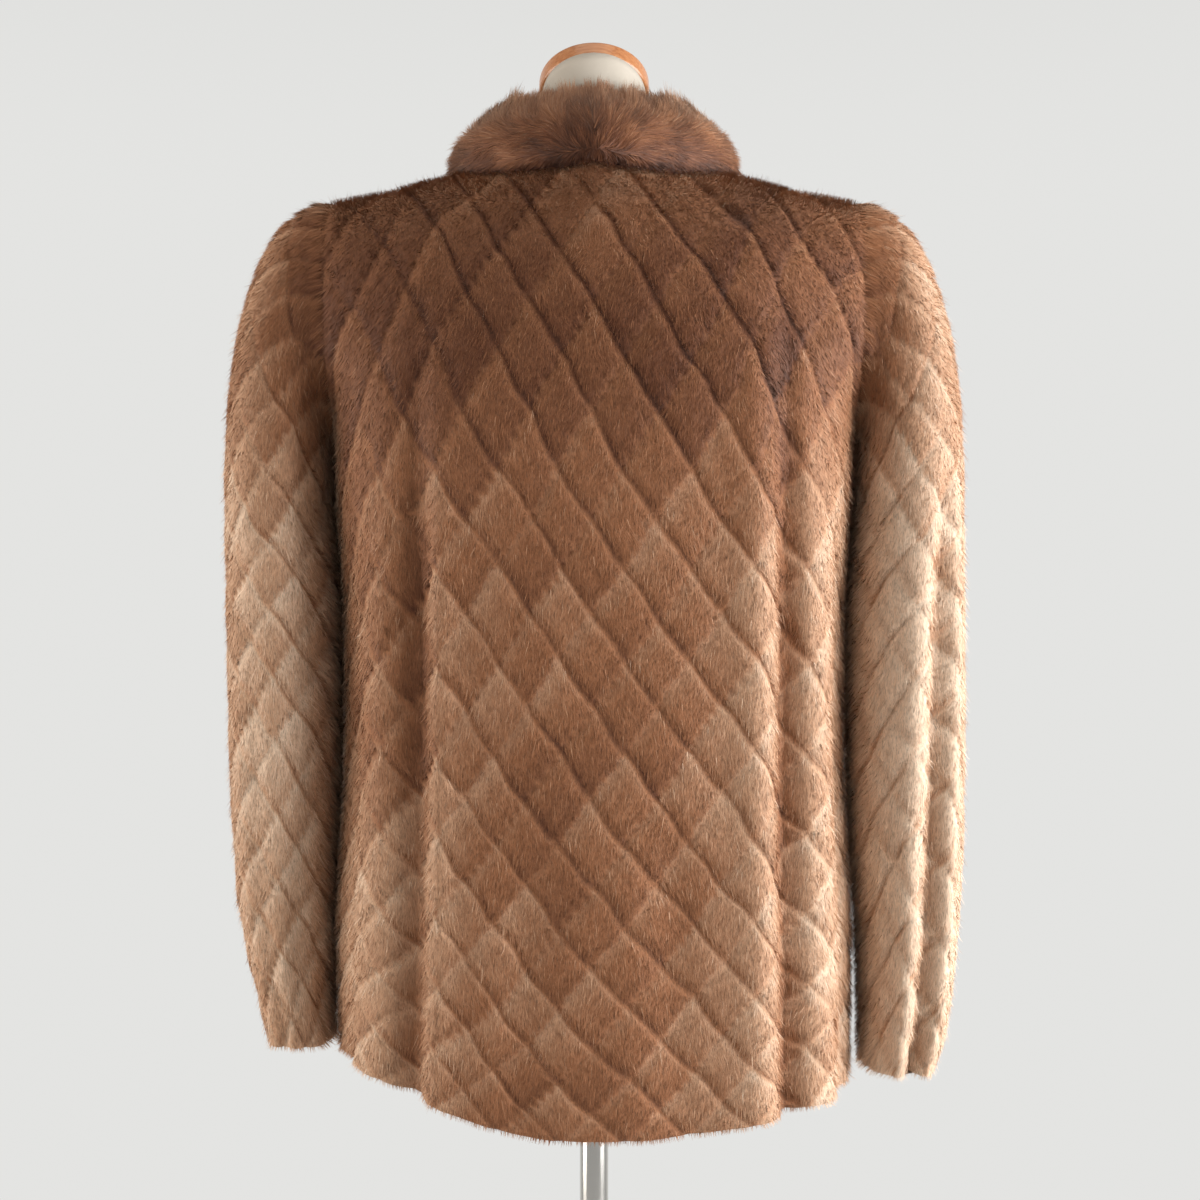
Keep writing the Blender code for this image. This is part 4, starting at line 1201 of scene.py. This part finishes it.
def growCollar(panel, material):
    # long pieces without diamonds, brushed out: from the centre back down to both sides, upright above
    s = collarFur
    count = s["hairs"]
    gen = np.random.default_rng(s["seed"])
    tips = panel["tips"]
    last = tips.shape[0] - 1
    r = last * gen.random(count) * 0.9999
    c = (tips.shape[1] - 1) * gen.random(count) * 0.9999
    place = sampleGrid(tips, r, c)
    x = place[:, 0]
    normal = unit(sampleGrid(panel["normals"], r, c))
    up = sampleGrid(panel["rowGrid"], r, c).clip(0, 1)
    upward = unit(sampleGrid(tips, np.minimum(r + 1, last), c) - sampleGrid(tips, np.maximum(r - 1, 0), c))
    sideways = unit(np.cross(normal, upward))
    sideways *= awayFromBack(sideways, place)
    behind = smooth(0.5 + place[:, 1] / s["backEdge"])
    spray = np.exp(-(x / s["spray"]) ** 2) * behind
    calm = 1 - s["sprayCalm"] * spray
    start = s["sweepLeast"] + (1 - s["sweepLeast"]) * smooth(np.abs(x) / s["sweepReach"])
    sweep = s["sweep"] * start * (1 - s["sweepLoss"] * beyond(up, s["sweepLossEdge"]))
    sweep = sweep + calm * waveSum(place, s["sweepWaves"])
    middle = s["middle"] + s["sprayRise"] * spray
    rise = s["foot"] + (middle - s["foot"]) * beyond(up, s["footEdge"])
    rise = rise + (s["top"] - middle) * beyond(up, s["topEdge"])
    rise = rise + calm * waveSum(place, s["riseWaves"])
    direction = unit(sideways * sweep[:, None] + upward * rise[:, None])
    strayAlong, strayUp = s["stray"]
    stray = sideways * gen.normal(0, strayAlong, count)[:, None]
    stray = stray + upward * gen.normal(0, strayUp, count)[:, None]
    direction = unit(direction + stray)
    tufts = smooth(0.5 + 0.5 * waves(place, s["tuftSize"], 45))
    least, more = s["tuftLength"]
    length = s["length"] * gen.uniform(*s["lengthLimits"], count) * (least + more * tufts)
    length = length * (s["footShare"] + (1 - s["footShare"]) * smooth(up / s["footReach"]))
    longest = gen.random(count) < s["guardShare"]
    length = np.where(longest, s["guardLonger"] * length, length)
    length = length * (1 - s["lipLoss"] * beyond(up, s["lipEdge"]))
    stand = s["leastStand"] + tufts * gen.uniform(*s["standLimits"], count) ** s["standBow"]
    least, more = s["lipStand"]
    stand = s["stand"] * stand * (least + more * beyond(up, s["lipStandEdge"]))
    splay = s["splay"] * (1 - smooth(up / s["splayReach"]))
    direction = unit(direction + normal * splay[:, None])
    root = place - normal * s["root"]
    tip = place + direction * length[:, None] + normal * stand[:, None]
    u = s["tone"] + s["cloud"] * waves(place, s["cloudSize"], 46) + s["tuftTone"] * (tufts - 0.5)
    u += gen.normal(0, s["toneSpread"], count)
    # painted highlight towards the lip, painted shade at the foot
    u += s["topToneAndHighlight"] * beyond(up, s["topToneEdge"]) + s["footPaintedShade"] * (1 - smooth(up / s["footReach"]))
    part = np.exp(-(x / s["partWide"]) ** 2) * np.exp(-((up - s["partAt"]) / s["partHigh"]) ** 2)
    u += s["partTone"] * part * behind
    u = np.where(gen.random(count) < s["paleShare"], u + gen.uniform(*s["paleTone"], count), u)
    pile = unit(normal + direction * s["pileTurn"])
    verts, shade = blades(gen, root, tip, normal, pile, s["wider"], s["turnSpread"])
    return hairMesh("collar_fur", verts, shade, u, material)


def makeCollar():
    panel = finishPanel(collarPanel())
    band = collarShell([underfur])
    paintTone(band, np.full(len(band.data.vertices), collarFur["bandTone"]))
    fur = growCollar(panel, guardHair)
    for piece in (band, fur):
        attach(piece, "root")
    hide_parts("collar")


formCut = {
    "clear": 0.0145,  # the form below the fur's tips
    "sideSlack": 0.010,  # and more of it at the sides, before and behind, and on the shoulders
    "deepSlack": 0.008,
    "topSlack": 0.0095,
    "bottom": 0.738,
    "bottomSize": 0.94,
    "bottomRound": 0.008,
    "sides": 96,
    "bodyRings": 28,
    "shoulderRings": 33,
    "evenRings": 9,  # the first of them evenly spaced
    "evenShare": 0.105,
    "shoulderPower": 3.2,
    "neckR": 0.0400,
    "neckFoot": 1.25,  # over the neck's radius
    "neckRings": 18,
    "neckTop": 1.4480,
    "tilt": math.radians(30),
    "shift": -0.004,
    "capR": 0.0425,
    "capThick": 0.0150,
    "capEdge": 0.003,
    "capRise": 0.002,
    "capGap": 0.0008,
    "poleR": 0.0110,
    "poleEdge": 0.0006,
    "baseR": 0.170,
    "baseThick": 0.012,
    "baseEdge": 0.003,
    "hubR": 0.026,
    "hubHeight": 0.034,
    "gap": 0.0005,
}


def formRings():
    cut = formCut
    a = np.linspace(0, 2 * math.pi, cut["sides"], endpoint=False)
    cosA, sinA = np.cos(a), np.sin(a)

    def bodyRing(z):
        half = station(bodyCut, "half", z) - cut["clear"] - cut["sideSlack"]
        roundness = station(bodyCut, "round", z)
        deepBack = station(bodyCut, "back", z) - cut["clear"] - cut["deepSlack"]
        deepFront = station(bodyCut, "front", z) - cut["clear"] - cut["deepSlack"]
        x = half * np.sign(cosA) * np.abs(cosA) ** (2 / roundness)
        y = np.where(sinA > 0, deepBack, deepFront) * np.sign(sinA) * np.abs(sinA) ** (2 / roundness)
        return np.stack((x, y, np.full(len(a), z)), 1)

    rings = [bodyRing(cut["bottom"]) * (cut["bottomSize"], cut["bottomSize"], 1)]
    low = cut["bottom"] + cut["bottomRound"]
    for t in np.linspace(0, 1, cut["bodyRings"]):
        rings.append(bodyRing(low + (underarmZ - low) * t))
    base = rings[-1]
    neckFoot = cut["neckR"] * cut["neckFoot"]
    side = np.abs(base[:, 0]) / np.abs(base[:, 0]).max()
    power = bodyCut["dome"] + cut["shoulderPower"] * side ** 4
    least = neckFoot / np.hypot(base[:, 0], base[:, 1])
    count = cut["shoulderRings"]
    for k in range(1, count + 1):
        t = math.sin(math.pi / 2 * k / count) ** 1.3
        if k <= cut["evenRings"]:
            t = k * cut["evenShare"] / cut["evenRings"]
        size = 1 - (1 - least) * t
        x = base[:, 0] * size
        y = base[:, 1] * size
        top = crest(np.abs(x)) - cut["clear"] - cut["topSlack"]
        rise = (1 - size ** power) ** (1 / bodyCut["dome"])
        rings.append(np.stack((x, y, underarmZ + (top - underarmZ) * rise), 1))
    last = rings[-1]
    flat = unit(last * (1, 1, 0))
    for t in np.linspace(0, 1, cut["neckRings"] + 1)[1:]:
        ring = flat * (neckFoot + (cut["neckR"] - neckFoot) * smooth(1.4 * t))
        slope = math.tan(cut["tilt"] * t ** 1.5)
        z = last[:, 2] + (cut["neckTop"] - last[:, 2]) * t + ring[:, 1] * slope
        rings.append(np.stack((ring[:, 0], ring[:, 1] + cut["shift"] * t, z), 1))
    return np.array(rings)


def closedRings(name, rings, materials):
    nr, nc = rings.shape[:2]
    faces = []
    for r in range(nr - 1):
        for c in range(nc):
            d = (c + 1) % nc
            faces.append((r * nc + c, r * nc + d, (r + 1) * nc + d, (r + 1) * nc + c))
    faces.append(tuple(range(nc))[::-1])
    faces.append(tuple((nr - 1) * nc + c for c in range(nc)))
    return meshObject(name, rings.reshape(-1, 3), faces, materials)


def turned(name, outline, sides, materials, place=(0, 0, 0), tilt=0.0):
    # a turned piece from a closed or axis-to-axis outline of (radius, height)
    a = np.linspace(0, 2 * math.pi, sides, endpoint=False)
    verts = []
    ids = []
    for radius, height in outline:
        if radius < tiny:
            ids.append([len(verts)] * sides)
            verts.append((0, 0, height))
        else:
            ids.append(list(range(len(verts), len(verts) + sides)))
            verts += [(radius * math.cos(t), radius * math.sin(t), height) for t in a]
    loop = list(zip(ids, ids[1:]))
    if outline[0][0] > tiny:
        loop.append((ids[-1], ids[0]))
    faces = []
    for low, high in loop:
        for k in range(sides):
            m = (k + 1) % sides
            face = []
            for v in (low[k], low[m], high[m], high[k]):
                if v not in face:
                    face.append(v)
            faces.append(tuple(face))
    obj = meshObject(name, verts, faces, materials)
    obj.data.set_sharp_from_angle(angle=math.radians(35))
    obj.location = place
    obj.rotation_euler = (tilt, 0, 0)
    return obj


def arcPoints(middle, radius, start, stop, steps):
    out = []
    for k in range(steps + 1):
        t = math.radians(start + (stop - start) * k / steps)
        out.append((middle[0] + radius * math.cos(t), middle[1] + radius * math.sin(t)))
    return out


def formCloth():
    # cotton jersey glued over papier mache: dull, finely ribbed, a little uneven in tone.
    # Its courses are 0.5 mm apart, too fine to show, and drawn 1 mm apart
    mat, tree, shader = newMaterial("creamJersey", {"Roughness": 0.88})
    place = addNode(tree, "ShaderNodeTexCoord").outputs["Object"]
    settings = {"bands_direction": "Z", "Scale": 320.0, "Distortion": 1.5, "Detail": 1.0}
    weave = addNode(tree, "ShaderNodeTexWave", settings, {"Vector": place})
    cloud = addNode(tree, "ShaderNodeTexNoise", {"Scale": 22.0, "Detail": 4.0}, {"Vector": place})
    colors = [(0.3, "#B3AA9D"), (0.7, "#C2B9AC")]
    tone = addNode(tree, "ShaderNodeValToRGB", {"stops": colors}, {0: cloud.outputs["Fac"]})
    tree.links.new(tone.outputs["Color"], shader.inputs["Base Color"])
    settings = {"Strength": 0.25, "Distance": 0.0003}
    bump = addNode(tree, "ShaderNodeBump", settings, {"Height": weave.outputs["Fac"]})
    tree.links.new(bump.outputs[0], shader.inputs["Normal"])
    return mat


def capWood():
    # turned beech, stained and varnished: glossy over fine grain, 2 mm from line to line
    finish = {"Roughness": 0.38, "Coat Weight": 0.3, "Coat Roughness": 0.12}
    mat, tree, shader = newMaterial("varnishedBeech", finish)
    place = addNode(tree, "ShaderNodeTexCoord").outputs["Object"]
    scale = addNode(tree, "ShaderNodeMapping", {"Scale": (28.0, 520.0, 520.0)}, {"Vector": place})
    settings = {"Scale": 1.0, "Detail": 5.0, "Roughness": 0.65}
    grain = addNode(tree, "ShaderNodeTexNoise", settings, {"Vector": scale.outputs[0]})
    colors = [(0.30, "#9A5E36"), (0.52, "#B4774A"), (0.74, "#C08A5E")]
    tone = addNode(tree, "ShaderNodeValToRGB", {"stops": colors}, {0: grain.outputs["Fac"]})
    tree.links.new(tone.outputs["Color"], shader.inputs["Base Color"])
    return mat


def poleChrome():
    # steel tube, polished and chromed: a bright, slightly warm mirror
    finish = {"Base Color": hexColor("#D6D3CE"), "Metallic": 1.0, "Roughness": 0.14}
    return newMaterial("polishedChrome", finish)[0]


def baseEnamel():
    # pressed steel, powder coated: off-white, half gloss, with an orange peel of 1 to 2 mm
    finish = {"Base Color": hexColor("#DEDBD5"), "Roughness": 0.4}
    mat, tree, shader = newMaterial("powderCoat", finish)
    place = addNode(tree, "ShaderNodeTexCoord").outputs["Object"]
    peel = addNode(tree, "ShaderNodeTexNoise", {"Scale": 700.0, "Detail": 2.0}, {"Vector": place})
    settings = {"Strength": 0.2, "Distance": 0.0002}
    bump = addNode(tree, "ShaderNodeBump", settings, {"Height": peel.outputs["Fac"]})
    tree.links.new(bump.outputs[0], shader.inputs["Normal"])
    return mat


def makeStand():
    cut = formCut
    torso = closedRings("dress_form", formRings(), [formCloth()])
    edge = cut["capEdge"]
    radius = cut["capR"]
    thick = cut["capThick"]
    rise = cut["capRise"]
    outline = [(0, 0)]
    outline += arcPoints((radius - edge, edge), edge, -90, 0, 6)
    outline += arcPoints((radius - edge, thick - edge), edge, 0, 90, 6)
    outline += [(radius * t, thick + rise * (1 - t * t)) for t in (0.8, 0.6, 0.4, 0.2)]
    outline.append((0, thick + rise))
    place = (0, cut["shift"], cut["neckTop"] + cut["capGap"])
    cap = turned("wooden_cap", outline, 64, [capWood()], place, cut["tilt"])
    chrome = poleChrome()
    foot = cut["baseThick"] + cut["gap"]
    top = cut["bottom"] - cut["gap"]
    r = cut["poleR"]
    edge = cut["poleEdge"]
    outline = [(0, foot), (r - edge, foot), (r, foot + edge), (r, top), (0, top)]
    pole = turned("chrome_pole", outline, 64, [chrome])
    # the hub is a flange with a collar round the pole, drawn in where it leaves the flange
    inner = r + cut["gap"]
    h = cut["hubR"]
    high = foot + cut["hubHeight"]
    outline = [(inner, foot), (h - 0.001, foot)]
    outline += arcPoints((h - 0.001, foot + 0.001), 0.001, -90, 0, 3)
    outline.append((h, foot + 0.006))
    outline += arcPoints((h - 0.002, foot + 0.006), 0.002, 0, 90, 4)
    outline += [(h * 0.72, foot + 0.0095), (h * 0.65, foot + 0.014)]
    outline += [(h * 0.62, high - 0.002), (h * 0.58, high), (inner, high)]
    hub = turned("pole_hub_turned", outline, 64, [chrome])
    b = cut["baseR"]
    edge = cut["baseEdge"]
    outline = [(0, 0), (b - edge, 0)]
    outline += arcPoints((b - edge, edge), edge, -90, 0, 5)
    outline.append((b, 2 * edge))
    outline += arcPoints((b - edge, 2 * edge), edge, 0, 90, 5)
    outline += [(b * 0.8, 0.0098), (h * 2, cut["baseThick"]), (0, cut["baseThick"])]
    base = turned("base_disc", outline, 96, [baseEnamel()])
    for piece, node, slot in (
        (torso, "form_torso", "form_cloth"), (cap, "neck_cap", "cap_wood"), (pole, "pole", "pole_chrome"),
        (hub, "pole_hub", "pole_chrome"), (base, "base_plate", "base_steel"),
    ):
        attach(piece, "root")
        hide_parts(node)


makeCollar()
makeStand()
print("collar, form and stand made")


def makeFloor():
    settings = {"radius": 1.6, "sides": 96, "color": "#DFDEDB"}
    a = np.linspace(0, 2 * math.pi, settings["sides"], endpoint=False)
    verts = np.stack((np.cos(a), np.sin(a), np.zeros(len(a))), 1) * settings["radius"]
    # painted screed: pale, even and matt
    finish = {"Base Color": hexColor(settings["color"]), "Roughness": 0.7}
    mat = newMaterial("paleFloor", finish)[0]
    floor = meshObject("floor", verts, [tuple(range(len(a)))], [mat], False)


def makeLights():
    world = bpy.data.worlds.new("paleRoom")
    bpy.context.scene.world = world
    world.use_nodes = True
    tree = world.node_tree
    # the wall behind the jacket is brighter than the rest of the room
    direction = addNode(tree, "ShaderNodeTexCoord").outputs["Generated"]
    split = addNode(tree, "ShaderNodeSeparateXYZ", links={0: direction})
    smoothly = {"interpolation_type": "SMOOTHSTEP"}
    bright = {"From Min": -0.25, "From Max": -0.85, "To Min": 0.52, "To Max": 0.95}
    glow = addNode(tree, "ShaderNodeMapRange", smoothly | bright, {0: split.outputs["Y"]})
    darker = {"From Min": 0.2, "From Max": 0.8, "To Min": 1.0, "To Max": 0.6}
    dim = addNode(tree, "ShaderNodeMapRange", smoothly | darker, {0: split.outputs["Z"]})
    both = {0: glow.outputs[0], 1: dim.outputs[0]}
    strength = addNode(tree, "ShaderNodeMath", {"operation": "MULTIPLY"}, both)
    ground = tree.nodes["Background"]
    ground.inputs["Color"].default_value = hexColor("#E9E9E7")
    tree.links.new(strength.outputs[0], ground.inputs["Strength"])
    for name, place, target, size, power, color in (
        ("window", (-2.1, 0.70, 1.05), (0, 0.05, 0.95), (1.6, 2.0), 105, "#FFFFFF"),
        ("whiteWall", (2.2, 0.40, 0.90), (0, 0.05, 0.95), (1.4, 1.9), 42, "#FFF8F0"),
        ("ceiling", (0, 0.5, 3.0), (0, 0, 1.2), (1.6, 1.6), 10, "#FFF6EC"),
        ("room", (1.0, 2.4, 2.2), (0, 0, 1.0), (1.6, 1.6), 8, "#FFF4E8"),
    ):
        data = bpy.data.lights.new(name, "AREA")
        data.shape = "RECTANGLE"
        data.size, data.size_y = size
        data.energy = power
        data.color = hexColor(color)[:3]
        lamp = bpy.data.objects.new(name, data)
        bpy.context.scene.collection.objects.link(lamp)
        lamp.location = place
        lamp.rotation_euler = (Vector(target) - Vector(place)).to_track_quat("-Z", "Y").to_euler()


def makeCamera():
    # the photograph is 1200 px square and was taken level, from behind the jacket
    settings = {"place": (-0.0046, 1.43, 1.06), "lens": 55.7, "sensor": 36.0}
    data = bpy.data.cameras.new("camera")
    data.lens = settings["lens"]
    data.sensor_width = settings["sensor"]
    camera = bpy.data.objects.new("camera", data)
    bpy.context.scene.collection.objects.link(camera)
    camera.location = settings["place"]
    camera.rotation_euler = (math.radians(90), 0, math.radians(180))
    bpy.context.scene.camera = camera


makeFloor()
makeLights()
makeCamera()
bpy.context.scene.view_settings.view_transform = "Standard"
print("floor, lights and camera set")

print("ready")
